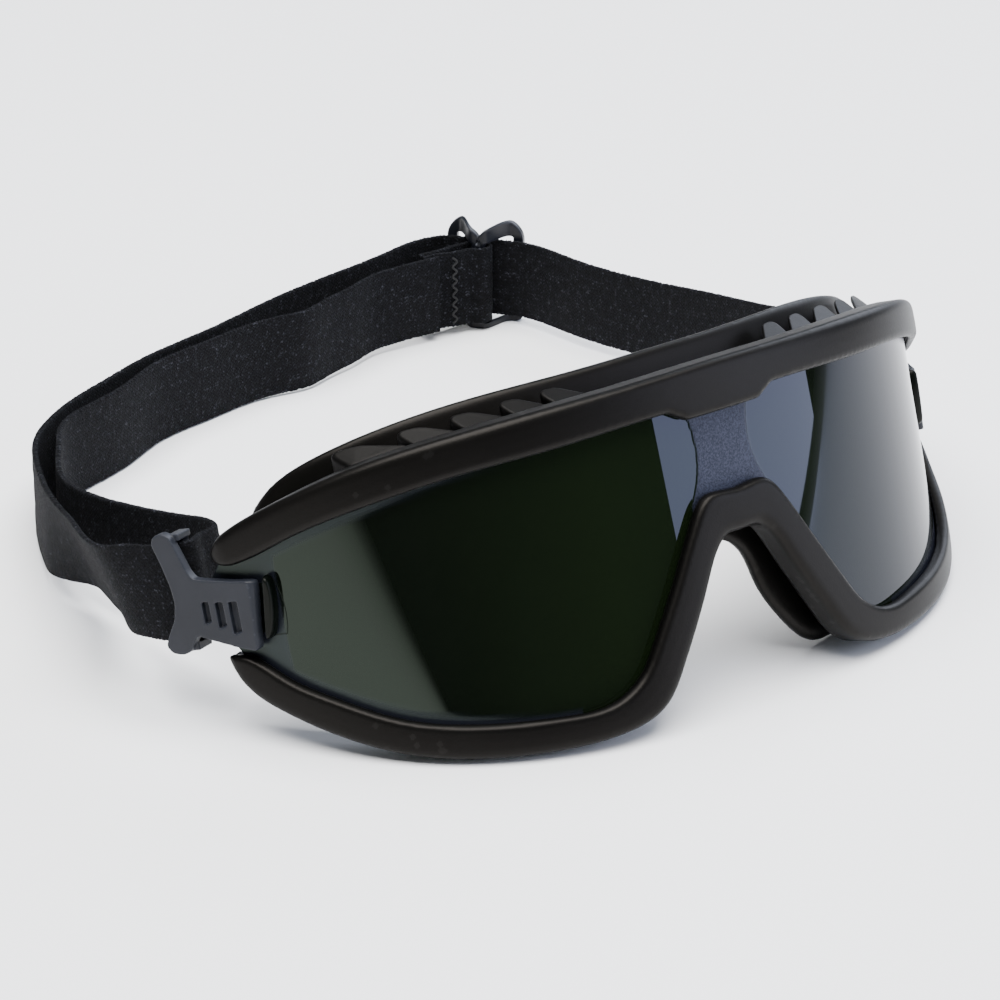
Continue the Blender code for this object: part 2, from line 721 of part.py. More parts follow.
def build_slider(pivot):
    """Two-slot slide: middle bar set inwards, end bars outside the strap."""
    low = -1.9
    high = STRAP_W + 4.4
    path = bpy.data.curves.new("strap_slider_form", 'CURVE')
    path.dimensions = '2D'
    path.fill_mode = 'BOTH'
    path.extrude = 0.75 * MM
    path.bevel_depth = 0.35 * MM
    path.bevel_resolution = 1

    def add(points):
        line = path.splines.new('POLY')
        line.points.add(len(points) - 1)
        for i, p in enumerate(points):
            line.points[i].co = (p[0] * MM, p[1] * MM, 0.0, 1.0)
        line.use_cyclic_u = True

    outer = [(-9.4, low + 1.8), (-8.6, low + 0.5), (-7.4, low + 0.25)]
    outer += [(7.4, low + 0.25), (8.6, low + 0.5), (9.4, low + 1.8)]
    for c in (4.45, -4.45):
        for k in range(9):
            ang = math.radians(4.0 + (172.0 if c > 0 else 172.0) * k / 8.0)
            if c > 0 and k == 8:
                continue
            if c < 0 and k == 0:
                continue
            outer.append((c + 4.95 * math.cos(ang), high - 5.2 + 4.95 * math.sin(ang)))
    add(outer)
    for c in (4.4, -4.4):
        hole = [(c - 3.1, -0.7), (c + 3.1, -0.7)]
        for k in range(7):
            ang = math.radians(180.0 * k / 6.0)
            hole.append((c + 3.1 * math.cos(ang), STRAP_W + 0.3 + 0.7 * math.sin(ang)))
        add(hole)
    flat = bpy.data.objects.new("strap_slider_form", path)
    PARTS.objects.link(flat)
    bpy.context.view_layer.update()
    graph = bpy.context.evaluated_depsgraph_get()
    mesh = bpy.data.meshes.new_from_object(flat.evaluated_get(graph))
    bpy.data.objects.remove(flat)
    bm = bmesh.new()
    bm.from_mesh(mesh)
    bpy.data.meshes.remove(mesh)
    bmesh.ops.scale(bm, vec=(1000.0, 1000.0, 1000.0), verts=bm.verts)
    bmesh.ops.remove_doubles(bm, verts=bm.verts, dist=0.01)
    for u in (-7.0, -5.6, -4.2, -2.8, -1.6, 1.6, 2.8, 4.2, 5.6, 7.0):
        geom = bm.verts[:] + bm.edges[:] + bm.faces[:]
        bmesh.ops.bisect_plane(bm, geom=geom, plane_co=(u, 0, 0), plane_no=(1, 0, 0), dist=0.0001)
    for v in bm.verts:
        u = v.co.x
        t = min(max((abs(u) - 1.5) / 5.4, 0.0), 1.0)
        bow = -4.7 + 7.1 * t * t * (3.0 - 2.0 * t)
        x, y = slider_point(u, v.co.z + bow)
        v.co = Vector((x, y, v.co.y + SLIDER_LIFT))
    return paint(finish(bm, "strap_slider", pivot), "slate_slider", (0.05, 0.055, 0.065), 0.4)


# ---------------------------------------------------------------- assembly

def reset():
    for obj in list(bpy.data.objects):
        bpy.data.objects.remove(obj)
    parts = bpy.data.collections.new("welding_goggles")
    cutters = bpy.data.collections.new("cutters")
    bpy.context.scene.collection.children.link(parts)
    bpy.context.scene.collection.children.link(cutters)
    return parts, cutters


PARTS, CUTTERS = reset()


def swing_pivot():
    p = on_lens(SWING_S, 2.0, 0.0, SWING_Z)
    return (0.0, (p.y + SET_BACK) * MM, p.z * MM)


def build():
    build_frame()
    build_lens()
    for side in (-1, 1):
        for index in range(len(VENT_S)):
            build_vent(side, index)
        build_anchor(side)
    pivot = swing_pivot()
    for side in (-1, 1):
        build_clip(side, pivot)
    build_strap(pivot)
    x, y = slider_point(0.0, 0.0)
    slider_pivot = (x * MM, (y + SET_BACK) * MM, (SLIDER_LIFT + 0.5 * STRAP_W) * MM)
    build_slider(slider_pivot)
    build_sewn_loop(slider_pivot)
    build_tacks(pivot, slider_pivot)


build()
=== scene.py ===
"""Welding goggles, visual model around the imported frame.

Lengths in this script are millimetres until an object is stored, then metres.
Goggle parts are laid out on a developed surface: s runs along the lens curve,
n stands out from the lens face, d runs back towards the face, z runs up the lens.
"""
import bpy
import bmesh
import math
import numpy as np
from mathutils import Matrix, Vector


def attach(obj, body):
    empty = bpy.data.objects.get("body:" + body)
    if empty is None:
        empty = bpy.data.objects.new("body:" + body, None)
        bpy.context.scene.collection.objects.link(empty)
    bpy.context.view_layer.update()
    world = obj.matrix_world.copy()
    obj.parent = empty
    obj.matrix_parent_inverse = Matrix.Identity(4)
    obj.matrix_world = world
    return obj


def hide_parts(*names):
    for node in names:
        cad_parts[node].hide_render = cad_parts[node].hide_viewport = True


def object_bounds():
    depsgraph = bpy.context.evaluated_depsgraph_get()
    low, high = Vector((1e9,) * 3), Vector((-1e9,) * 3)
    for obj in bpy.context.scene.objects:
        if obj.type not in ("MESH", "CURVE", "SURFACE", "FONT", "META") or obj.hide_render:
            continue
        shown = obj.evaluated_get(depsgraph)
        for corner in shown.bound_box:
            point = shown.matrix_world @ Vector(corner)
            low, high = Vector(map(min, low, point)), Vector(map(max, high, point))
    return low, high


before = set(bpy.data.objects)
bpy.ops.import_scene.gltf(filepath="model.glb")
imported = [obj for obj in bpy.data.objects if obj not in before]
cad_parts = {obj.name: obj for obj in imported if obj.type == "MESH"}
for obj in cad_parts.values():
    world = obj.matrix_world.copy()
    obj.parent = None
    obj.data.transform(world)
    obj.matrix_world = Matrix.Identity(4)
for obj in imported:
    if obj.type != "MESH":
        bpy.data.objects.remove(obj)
CAD_LOW, CAD_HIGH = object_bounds()

MM = 0.001

# Stance: lean of the lens, height of its datum line, and the shift that centres the object.
LEAN = math.radians(17.0)
STAND = 42.52
SET_BACK = -93.05

# Plan curve of the lens: its rate of turn is a polynomial in s / BEND_REF, held still past BEND_END.
BEND = (0.0056, 0.0218, -0.0134)
BEND_REF = 80.0
BEND_END = 108.0
TABLE_STEP = 0.25
TABLE_END = 140.0

# Lens and rim, as distances out from the lens face. The lens's edge is tucked into the rim by LENS_TUCK.
GAP = 0.3
LENS_T = 2.4
LENS_TUCK = 0.40
PATCH_LIFT = 0.10
RIM_FRONT = 3.0
RIM_BACK = -4.4
LIP_FRONT = -2.8
LIP_BACK = -4.8

# The rims taper to rounded tips: where each tip starts, how long it is, and how far it closes.
TOP_TIP = (110.6, 3.4)
LOW_TIP = (111.2, 3.0)
TIP_CLOSE = 0.93
TIP_STOPS = (0.15, 0.3, 0.5, 0.8, 1.1, 1.4, 1.8, 2.3, 2.8)

# Vent hoods: places along the brow, length of each behind its centre, and the air port's size.
VENT_S = (26.9, 35.8, 46.3, 57.0, 70.5)
VENT_REACH = 4.6
PORT_HALF = 2.8
PORT_DEPTH = (6.2, 12.0)
PORT_DROP = (16.0, 4.0)

# Side clips: faces above the lens, front edge, and the bar that holds the headband.
CLIP_IN = 1.3
CLIP_OUT = 3.6
CLIP_FRONT = 100.8
BAR_R = 1.1
BAR_S = 118.0
BAR_N = -1.95
BOSS_MID = -3.0
BOSS_HALF = 6.4

# Headband and its slide. BAND_MID is the height of the band's middle line over the clip bar's middle.
STRAP_W = 20.0
STRAP_T = 1.4
SELVEDGE = 0.45
BAND_MID = 1.5
RIB_PITCH = 0.92
STITCH_PITCH = 1.05
LEFT_SPLAY = math.radians(23.0)
SLIDER_AT = (83.2, 188.0)
SLIDER_DIR = (0.607, -0.794)
SLIDER_LIFT = 2.0
TACK_R = 0.26
TACK_TURNS = 15

# Frame body from the brow round the temple to the nose. Each station gives the along and up values of
# the inner edge, the outer edge and the face edge, then the face edge's depth.
BODY_STATIONS = (
    (0, 19, 0, 27, 0, 29, 20),
    (20, 18.9, 20, 26.7, 20, 28.9, 20),
    (40, 18, 40, 26.2, 40, 28.7, 20),
    (60, 16.9, 60, 24.9, 58, 27, 20),
    (80, 13.6, 80, 21.8, 76, 22.8, 19.5),
    (95, 9.4, 97, 16.5, 88, 16, 19),
    (103, 4.5, 105, 9, 94, 7.5, 18),
    (105.5, -3, 108.5, -3, 96.5, -3, 17),
    (102, -11.5, 105.5, -15, 94, -14, 16),
    (90.7, -22.2, 94, -28.4, 86, -24, 14.5),
    (76, -29, 77, -35.9, 73, -30.5, 13.5),
    (60, -32.7, 61, -39.5, 58, -35, 13),
    (46, -34.4, 46, -41, 45, -37, 12.5),
    (36, -34.3, 34, -40.8, 33, -38.8, 12),
    (29, -30.5, 24.5, -37.6, 22.5, -38.5, 11.5),
    (25.2, -25.5, 19.3, -31, 16.5, -33, 11.5),
    (17.4, -13, 11.2, -17.5, 10.5, -22, 12),
    (11.5, -3.2, 6.6, -10, 7, -14.5, 11.5),
    (8, 0.6, 4.2, -8.2, 3.5, -12, 11),
    (0, 0.6, 0, -8, 0, -11.3, 11),
)

# Upper and lower rims: along and up values of the inner edge, then of the outer edge.
TOP_RIM = (
    (0, 19, 0, 27), (20, 18.9, 20, 26.7), (40, 18, 40, 26.2), (60, 16.9, 60, 24.9),
    (80, 13.6, 80, 21.8), (95, 9.4, 97, 16.7), (104, 6.4, 106, 13.1), (110.2, 5.3, 110.8, 10.4),
)
LOW_RIM_END = (
    (109.8, -11.7, 111.2, -12.7), (105.6, -12.8, 108, -18.4), (98.3, -18, 101.5, -24),
)

# Step in the upper rim over the nose: along and up values of its two corners.
BROW = ((9.2, 16.6), (13.4, 19.0))

# Headband seen from above: x, y and height of the lower edge. Where that is None, the clip's bar sets it.
INNER_PLY = (
    (66.6, 184.6, 2.0), (62.0, 185.2, 1.9), (55.2, 186.0, 1.6), (47.5, 186.0, 1.3), (39.5, 183.2, 1.1),
    (31.0, 181.0, 0.9), (22.5, 178.6, 0.6), (14.0, 179.6, 0.4), (4.0, 179.6, 0.2), (-6.0, 177.6, 0.2),
    (-22.8, 173.9, 0.2), (-36.5, 166.8, 0.2), (-48.0, 162.4, 0.2), (-57.0, 158.4, 0.3), (-63.5, 151.6, 0.7),
    (-68.4, 144.0, 1.2), (-75.6, 132.6, 2.6), (-80.4, 121.0, 4.2), (-82.4, 108.5, 6.3),
    (-82.0, 91.5, 9.2), (-80.2, 75.5, 12.2), (-80.2, 66.0, 14.6), (-82.8, 59.4, None), (-88.2, 56.9, None),
)
OUTER_PLY = (
    (-97.6, 61.2, None), (-99.9, 65.2, 14.8), (-101.9, 70.5, 13.4), (-101.6, 77.0, 12.1), (-99.4, 84.6, 10.6),
    (-94.2, 98.5, 8.0), (-89.6, 111.8, 5.8), (-83.4, 126.4, 3.6), (-76.4, 140.4, 1.8), (-67.0, 154.6, 0.5),
    (-58.0, 162.2, 0.2), (-49.5, 167.2, 0.2), (-40.7, 171.0, 0.2), (-22.4, 178.3, 0.2), (-1.8, 183.4, 0.2),
    (21.5, 189.8, 0.5), (42.4, 193.0, 1.2), (58.0, 195.2, 1.7), (70.0, 197.0, 2.0),
)
RIGHT_RUN = (
    (90.8, 171.5, 2.0), (91.6, 162.0, 2.0), (94.4, 148.0, 2.0), (97.0, 136.0, 2.6), (98.6, 122.0, 4.3),
    (98.8, 110.0, 6.0), (98.0, 98.0, 8.2), (98.4, 88.0, 10.2), (100.6, 79.0, 12.0),
    (101.9, 70.5, 13.6), (99.9, 65.2, 14.8), (97.6, 61.2, None),
)


# ---------------------------------------------------------------- developed surface

def curve_table():
    """Length, plan position and heading along the lens curve."""
    s = np.arange(0.0, TABLE_END + TABLE_STEP, TABLE_STEP)
    c = np.minimum(s, BEND_END)
    q = c / BEND_REF
    turn = BEND[0] * c + BEND[1] * q ** 2 * c / 3.0 + BEND[2] * q ** 4 * c / 5.0
    mid = 0.5 * (turn[1:] + turn[:-1])
    x = np.concatenate([[0.0], np.cumsum(np.cos(mid) * TABLE_STEP)])
    y = np.concatenate([[0.0], np.cumsum(np.sin(mid) * TABLE_STEP)])
    return s, x, y, turn


TABLE = curve_table()


def lean(x, y, z):
    """Tip the upright goggle back and stand it up."""
    wy = y * math.cos(LEAN) + z * math.sin(LEAN)
    wz = z * math.cos(LEAN) - y * math.sin(LEAN) + STAND
    return Vector((x, wy, wz))


def on_lens(s, n, d, z):
    """Developed coordinates to goggle axes."""
    side = -1.0 if s < 0 else 1.0
    a = abs(s)
    x = np.interp(a, TABLE[0], TABLE[1])
    y = np.interp(a, TABLE[0], TABLE[2])
    turn = np.interp(a, TABLE[0], TABLE[3])
    x = x + n * math.sin(turn)
    y = y - n * math.cos(turn) + d
    return lean(side * x, y, z)


def spline(knots, values, where):
    """Natural cubic through the values."""
    t = np.array(knots, float)
    v = np.array(values, float)
    h = np.diff(t)
    count = len(t)
    a = np.zeros((count, count))
    b = np.zeros((count, v.shape[1]))
    a[0, 0] = 1.0
    a[-1, -1] = 1.0
    for i in range(1, count - 1):
        a[i, i - 1] = h[i - 1]
        a[i, i] = 2.0 * (h[i - 1] + h[i])
        a[i, i + 1] = h[i]
        b[i] = 6.0 * ((v[i + 1] - v[i]) / h[i] - (v[i] - v[i - 1]) / h[i - 1])
    m = np.linalg.solve(a, b)
    out = []
    for w in where:
        i = int(min(max(np.searchsorted(t, w) - 1, 0), count - 2))
        p = (t[i + 1] - w) / h[i]
        q = 1.0 - p
        g = h[i] * h[i] / 6.0
        out.append(p * v[i] + q * v[i + 1] + g * ((p ** 3 - p) * m[i] + (q ** 3 - q) * m[i + 1]))
    return np.array(out)


def lengths(points, cols):
    """Running length of a path, measured in some of its columns."""
    p = np.array(points, float)[:, cols]
    step = np.sqrt((np.diff(p, axis=0) ** 2).sum(1))
    return np.concatenate([[0.0], np.cumsum(step)])


def flip(row):
    """Mirror a row of along and up values."""
    out = list(row)
    for i in (0, 2, 4):
        if i < len(out):
            out[i] = -out[i]
    return tuple(out)


# ---------------------------------------------------------------- mesh helpers

def loft(rings, ring_closed=True, loop=False, uv=None):
    """Skin a list of equal rings. uv gives the two texture coordinates of ring i, point j."""
    bm = bmesh.new()
    layer = bm.loops.layers.uv.new("UVMap") if uv else None
    rows = [[bm.verts.new(p) for p in ring] for ring in rings]
    count = len(rows)
    size = len(rows[0])
    for i in range(count if loop else count - 1):
        a = rows[i]
        b = rows[(i + 1) % count]
        for j in range(size if ring_closed else size - 1):
            k = (j + 1) % size
            face = bm.faces.new((a[j], a[k], b[k], b[j]))
            face.smooth = True
            if uv:
                for corner, (r, c) in zip(face.loops, ((i, j), (i, j + 1), (i + 1, j + 1), (i + 1, j))):
                    corner[layer].uv = uv(r, c)
    if not loop:
        bm.faces.new(rows[0])
        bm.faces.new(list(reversed(rows[-1])))
    bmesh.ops.recalc_face_normals(bm, faces=bm.faces)
    return bm


def store(bm, name):
    """Millimetres in goggle axes to a linked object in metres."""
    bmesh.ops.scale(bm, vec=(MM, MM, MM), verts=bm.verts)
    bmesh.ops.translate(bm, vec=(0.0, SET_BACK * MM, 0.0), verts=bm.verts)
    bmesh.ops.recalc_face_normals(bm, faces=bm.faces)
    mesh = bpy.data.meshes.new(name)
    bm.to_mesh(mesh)
    bm.free()
    obj = bpy.data.objects.new(name, mesh)
    bpy.context.scene.collection.objects.link(obj)
    return obj


def settle(obj):
    """Apply every modifier."""
    bpy.context.view_layer.update()
    graph = bpy.context.evaluated_depsgraph_get()
    mesh = bpy.data.meshes.new_from_object(obj.evaluated_get(graph))
    obj.modifiers.clear()
    old = obj.data
    obj.data = mesh
    bpy.data.meshes.remove(old)
    mesh.name = obj.name
    return obj


def join_solid(obj, other, kind):
    """Add or cut another solid, which is used up."""
    mod = obj.modifiers.new(kind.lower(), 'BOOLEAN')
    mod.operation = kind
    mod.solver = 'EXACT'
    mod.object = other
    settle(obj)
    bpy.data.objects.remove(other)


def soften(obj, voxel, rounds, factor=0.5):
    """Remesh finely, then relax, so that every edge gets the small radius a moulding has."""
    mod = obj.modifiers.new("remesh", 'REMESH')
    mod.mode = 'VOXEL'
    mod.voxel_size = voxel * MM
    if rounds:
        relax = obj.modifiers.new("relax", 'SMOOTH')
        relax.factor = factor
        relax.iterations = rounds
    settle(obj)
    for poly in obj.data.polygons:
        poly.use_smooth = True
    return obj


def chamfered(ring, cut, steps=1):
    """Round every corner of a ring of points."""
    out = []
    count = len(ring)
    for i in range(count):
        here = ring[i]
        c = cut[i]
        if c <= 0.0:
            out.append(here)
            continue
        ends = []
        for other in (ring[i - 1], ring[(i + 1) % count]):
            step = other - here
            size = step.length
            ends.append(here + step * (min(c, 0.4 * size) / size))
        for k in range(steps + 1):
            t = k / steps
            out.append(ends[0] * (1 - t) ** 2 + here * 2 * t * (1 - t) + ends[1] * t ** 2)
    return out


def merge(target, source):
    """Add one bmesh to another."""
    mesh = bpy.data.meshes.new("merge_tmp")
    source.to_mesh(mesh)
    source.free()
    target.from_mesh(mesh)
    bpy.data.meshes.remove(mesh)


def curve_mesh(curve):
    """Mesh of a bevelled or filled curve."""
    form = bpy.data.objects.new(curve.name + "_form", curve)
    bpy.context.scene.collection.objects.link(form)
    bpy.context.view_layer.update()
    graph = bpy.context.evaluated_depsgraph_get()
    mesh = bpy.data.meshes.new_from_object(form.evaluated_get(graph))
    bpy.data.objects.remove(form)
    return mesh


def smooth_step(x, a, b):
    t = min(max((x - a) / (b - a), 0.0), 1.0)
    return t * t * (3.0 - 2.0 * t)


# ---------------------------------------------------------------- materials

class Graph:
    """Small wrapper that makes node graphs short to write."""

    def __init__(self, name):
        self.mat = bpy.data.materials.new(name)
        self.mat.use_nodes = True
        self.tree = self.mat.node_tree
        self.shader = self.tree.nodes["Principled BSDF"]

    def node(self, kind, inputs=None, **settings):
        made = self.tree.nodes.new(kind)
        for key, value in settings.items():
            setattr(made, key, value)
        for key, value in (inputs or {}).items():
            self.feed(made.inputs[key], value)
        return made

    def feed(self, socket, value):
        if isinstance(value, bpy.types.NodeSocket):
            self.tree.links.new(value, socket)
        elif isinstance(value, bpy.types.Node):
            self.tree.links.new(value.outputs[0], socket)
        else:
            socket.default_value = value

    def maths(self, operation, a, b=0.0, c=0.0):
        return self.node('ShaderNodeMath', {0: a, 1: b, 2: c}, operation=operation).outputs[0]

    def highest(self, first, *others):
        for other in others:
            first = self.maths('MAXIMUM', first, other)
        return first

    def attribute(self, name):
        return self.node('ShaderNodeAttribute', attribute_name=name).outputs['Fac']

    def ramp(self, fac, stops):
        """Colour ramp. Stops are in rising order."""
        made = self.node('ShaderNodeValToRGB', {0: fac})
        made.color_ramp.interpolation = 'EASE'
        spots = made.color_ramp.elements
        while len(spots) > 1:
            spots.remove(spots[0])
        spots[0].position = stops[0][0]
        for place, _ in stops[1:]:
            spots.new(place)
        for spot, (_, colour) in zip(spots, stops):
            spot.color = (*colour, 1.0)
        return made.outputs[0]

    def grey(self, fac, low, high, start=0.0, end=1.0):
        """Value from low to high as fac goes from start to end."""
        made = self.node('ShaderNodeMapRange', {0: fac, 1: start, 2: end, 3: low, 4: high})
        return made.outputs[0]

    def noise(self, where, scale, detail=3.0, rough=0.5, stretch=None):
        if stretch:
            where = self.node('ShaderNodeMapping', {0: where, 3: stretch}).outputs[0]
        settings = {'Vector': where, 'Scale': scale, 'Detail': detail, 'Roughness': rough}
        return self.node('ShaderNodeTexNoise', settings).outputs[0]

    def mix(self, fac, a, b):
        """Blend of two colours, each three numbers or a socket."""
        made = self.node('ShaderNodeMix', data_type='RGBA')
        self.feed(made.inputs[0], fac)
        self.feed(made.inputs[6], (*a, 1.0) if isinstance(a, tuple) else a)
        self.feed(made.inputs[7], (*b, 1.0) if isinstance(b, tuple) else b)
        return made.outputs[2]

    def bump(self, height, strength, distance):
        settings = {'Height': height, 'Strength': strength, 'Distance': distance}
        return self.node('ShaderNodeBump', settings).outputs[0]

    def place(self):
        return self.node('ShaderNodeTexCoord').outputs['Object']

    def wear(self, low, high):
        """0 on flats, 1 on outward edges."""
        geometry = self.node('ShaderNodeNewGeometry')
        return self.grey(geometry.outputs['Pointiness'], 0.0, 1.0, low, high)

    def set(self, **values):
        for key, value in values.items():
            self.feed(self.shader.inputs[key.replace("_", " ")], value)


def soft_black():
    """Soft matt elastomer with a little dust and paler rubbed edges."""
    g = Graph("soft_black_frame_detail")
    at = g.place()
    cloud = g.noise(at, 38.0, 4.0)
    grain = g.noise(at, 2600.0, 2.0)
    dust = g.noise(at, 2600.0, 6.0, 0.8)
    edge = g.wear(0.505, 0.56)
    base = g.mix(g.grey(cloud, 0.0, 1.0, 0.3, 0.7), (0.0006, 0.0006, 0.0006), (0.0012, 0.00115, 0.0011))
    specks = g.grey(dust, 0.0, 0.08, 0.70, 0.8)
    base = g.mix(specks, base, (0.06, 0.058, 0.055))
    base = g.mix(g.maths('MULTIPLY', edge, 0.35), base, (0.012, 0.0115, 0.011))
    rough = g.maths('ADD', g.grey(cloud, 0.36, 0.44), g.grey(grain, -0.04, 0.05))
    rough = g.maths('SUBTRACT', rough, g.maths('MULTIPLY', edge, 0.06))
    g.set(Base_Color=base, Roughness=rough, Normal=g.bump(grain, 0.35, 0.00006),
          Specular_IOR_Level=0.12, Specular_Tint=(1.0, 0.92, 0.84, 1.0))
    return g.mat


def moulded(name, dark, light, worn, rough, shine, scale=2200.0):
    """Fine spark-eroded plastic with slightly paler rubbed edges."""
    g = Graph(name)
    at = g.place()
    cloud = g.noise(at, 90.0, 3.0)
    grain = g.noise(at, scale, 2.0)
    edge = g.wear(0.505, 0.57)
    base = g.mix(g.grey(cloud, 0.0, 1.0, 0.3, 0.7), dark, light)
    base = g.mix(g.maths('MULTIPLY', edge, 0.5), base, worn)
    dust = g.grey(g.noise(at, 1300.0, 6.0, 0.8), 0.0, 0.12, 0.64, 0.8)
    base = g.mix(dust, base, (0.10, 0.103, 0.107))
    finish = g.maths('ADD', g.grey(grain, rough - 0.05, rough + 0.06), g.grey(cloud, -0.03, 0.03))
    g.set(Base_Color=base, Roughness=finish, Normal=g.bump(grain, 0.30, 0.00005),
          Specular_IOR_Level=shine, Specular_Tint=(1.0, 0.95, 0.90, 1.0))
    return g.mat


def lens_glass():
    """Dark green shade: polished faces, satin border, stippled bridge patch."""
    g = Graph("shade_green_lens_detail")
    at = g.place()
    up = g.attribute("lens_up")
    along = g.attribute("lens_along")
    side = g.maths('ABSOLUTE', along)
    patch = g.attribute("bridge_patch")
    border = g.attribute("satin_border")
    stipple = g.noise(at, 2400.0, 3.0, 0.7)
    haze = g.noise(at, 26.0, 5.0, 0.6, (1.0, 1.0, 0.35))
    specks = g.grey(g.noise(at, 620.0, 7.0, 0.85), 0.0, 1.0, 0.735, 0.78)

    # Smoked green, stronger over the left eye.
    tint = g.mix(g.grey(haze, 0.0, 1.0, 0.35, 0.7), (0.0014, 0.0022, 0.0013), (0.0024, 0.0036, 0.0021))
    green = g.maths('MULTIPLY', g.grey(along, 0.0, 1.0, -70.0, -30.0), g.grey(along, 1.0, 0.0, 0.0, 60.0))
    tint = g.mix(green, tint, (0.0034, 0.0062, 0.0022))
    tint = g.mix(g.maths('MULTIPLY', border, 0.9), tint, (0.0085, 0.0095, 0.0150))

    # Moulded line beside the clip: bowed towards the temple, with a foot that turns back under the boss.
    bend = g.maths('POWER', g.maths('ABSOLUTE', g.maths('ADD', up, 4.5)), 2.0)
    hook = g.maths('SUBTRACT', g.maths('MULTIPLY_ADD', bend, 0.03, 97.1), side)
    hook = g.maths('ABSOLUTE', g.maths('MAXIMUM', hook, g.maths('SUBTRACT', -9.0, up)))
    hook = g.maths('MULTIPLY', g.maths('LESS_THAN', hook, 0.13), g.maths('LESS_THAN', up, 2.4))
    hook = g.maths('MULTIPLY', hook, g.maths('LESS_THAN', side, 101.0))
    tint = g.mix(hook, tint, (0.0006, 0.0008, 0.0008))

    frost = g.mix(g.grey(stipple, 0.0, 1.0, 0.38, 0.62), (0.004, 0.0048, 0.009), (0.026, 0.029, 0.046))
    tint = g.mix(g.maths('MULTIPLY', patch, 0.9), tint, frost)
    tint = g.mix(g.maths('MULTIPLY', specks, 0.55), tint, (0.30, 0.31, 0.30))
    polish = g.maths('ADD', 0.008, g.grey(haze, 0.0, 0.018, 0.3, 0.8))
    rough = g.highest(polish, g.maths('MULTIPLY', patch, 0.5), g.maths('MULTIPLY', border, 0.30),
                      g.maths('MULTIPLY', hook, 0.6), g.maths('MULTIPLY', specks, 0.5))
    grit = g.bump(stipple, g.maths('MULTIPLY', patch, 0.8), 0.00009)
    # Painted reflection colour: the specular tint is set by place along the lens, green at the left end and
    # lavender from the bridge rightwards, so the reflections carry painted colour rather than a real
    # coating's.
    reflection_tint_by_place = g.mix(g.grey(along, 0.0, 1.0, -60.0, -20.0), (0.84, 1.0, 0.82), (0.70, 0.74, 1.0))
    g.set(Base_Color=tint, Roughness=rough, Normal=grit, Specular_Tint=reflection_tint_by_place, IOR=1.34)
    return g.mat


def elastic():
    """Knitted elastic: fine ribs along the band crossed by stitches, with pale flecks."""
    g = Graph("black_elastic_detail")
    uv = g.node('ShaderNodeUVMap', uv_map="UVMap").outputs[0]
    split = g.node('ShaderNodeSeparateXYZ', {0: uv})
    along = split.outputs[0]
    across = split.outputs[1]
    wobble = g.maths('MULTIPLY', g.maths('SUBTRACT', g.noise(uv, 90.0, 2.0), 0.5), 2.2)
    rib = g.maths('MULTIPLY', across, 2.0 * math.pi / (RIB_PITCH * MM))
    rib = g.maths('SINE', g.maths('ADD', rib, wobble))
    phase = g.maths('MULTIPLY', g.maths('SIGN', rib), 0.5 * math.pi)
    stitch = g.maths('MULTIPLY', along, 2.0 * math.pi / (STITCH_PITCH * MM))
    stitch = g.maths('SINE', g.maths('ADD', stitch, g.maths('ADD', phase, wobble)))
    fuzz = g.grey(g.noise(uv, 1500.0, 4.0, 0.75), 0.0, 1.0, 0.43, 0.60)
    tuft = g.grey(g.noise(uv, 700.0, 5.0, 0.8, (1.0, 0.6, 1.0)), 0.0, 1.0, 0.42, 0.60)
    knit = g.maths('ADD', g.maths('MULTIPLY', rib, 0.12), g.maths('MULTIPLY', stitch, 0.18))
    mess = g.maths('ADD', g.maths('MULTIPLY', fuzz, 0.45), g.maths('MULTIPLY', tuft, 0.45))
    tone = g.maths('ADD', g.maths('MULTIPLY', knit, 0.35), mess)
    colour = g.ramp(tone, ((0.08, (0.0002, 0.00022, 0.0004)), (0.40, (0.0008, 0.00085, 0.0015)),
                           (0.68, (0.0052, 0.0054, 0.0076)), (0.88, (0.042, 0.044, 0.054))))
    faded = g.grey(g.noise(uv, 14.0, 2.0), 0.0, 0.15, 0.3, 0.7)
    colour = g.mix(faded, colour, (0.0020, 0.0022, 0.0034))
    height = g.maths('ADD', knit, mess)
    g.set(Base_Color=colour, Roughness=g.grey(fuzz, 0.80, 0.98), Normal=g.bump(height, 1.0, 0.00045),
          Specular_IOR_Level=0.12, Sheen_Weight=0.02, Sheen_Roughness=0.45,
          Sheen_Tint=(0.55, 0.60, 0.75, 1.0))
    return g.mat


def thread():
    """Twisted black sewing thread."""
    g = Graph("tack_thread_detail")
    at = g.place()
    settings = {'Vector': at, 'Scale': 900.0, 'Distortion': 1.5, 'Detail': 1.0}
    twist = g.node('ShaderNodeTexWave', settings).outputs[1]
    fuzz = g.noise(at, 4000.0, 3.0)
    g.set(Base_Color=g.mix(twist, (0.0008, 0.0009, 0.0013), (0.0030, 0.0032, 0.0043)),
          Roughness=g.grey(fuzz, 0.6, 0.85), Normal=g.bump(twist, 0.8, 0.0001))
    return g.mat


def floor_paper():
    """White studio paper, faintly uneven."""
    g = Graph("studio_floor")
    at = g.place()
    g.set(Base_Color=g.mix(g.noise(at, 3.0, 2.0), (0.90, 0.903, 0.915), (0.915, 0.92, 0.93)),
          Roughness=g.grey(g.noise(at, 900.0, 2.0), 0.75, 0.9))
    return g.mat


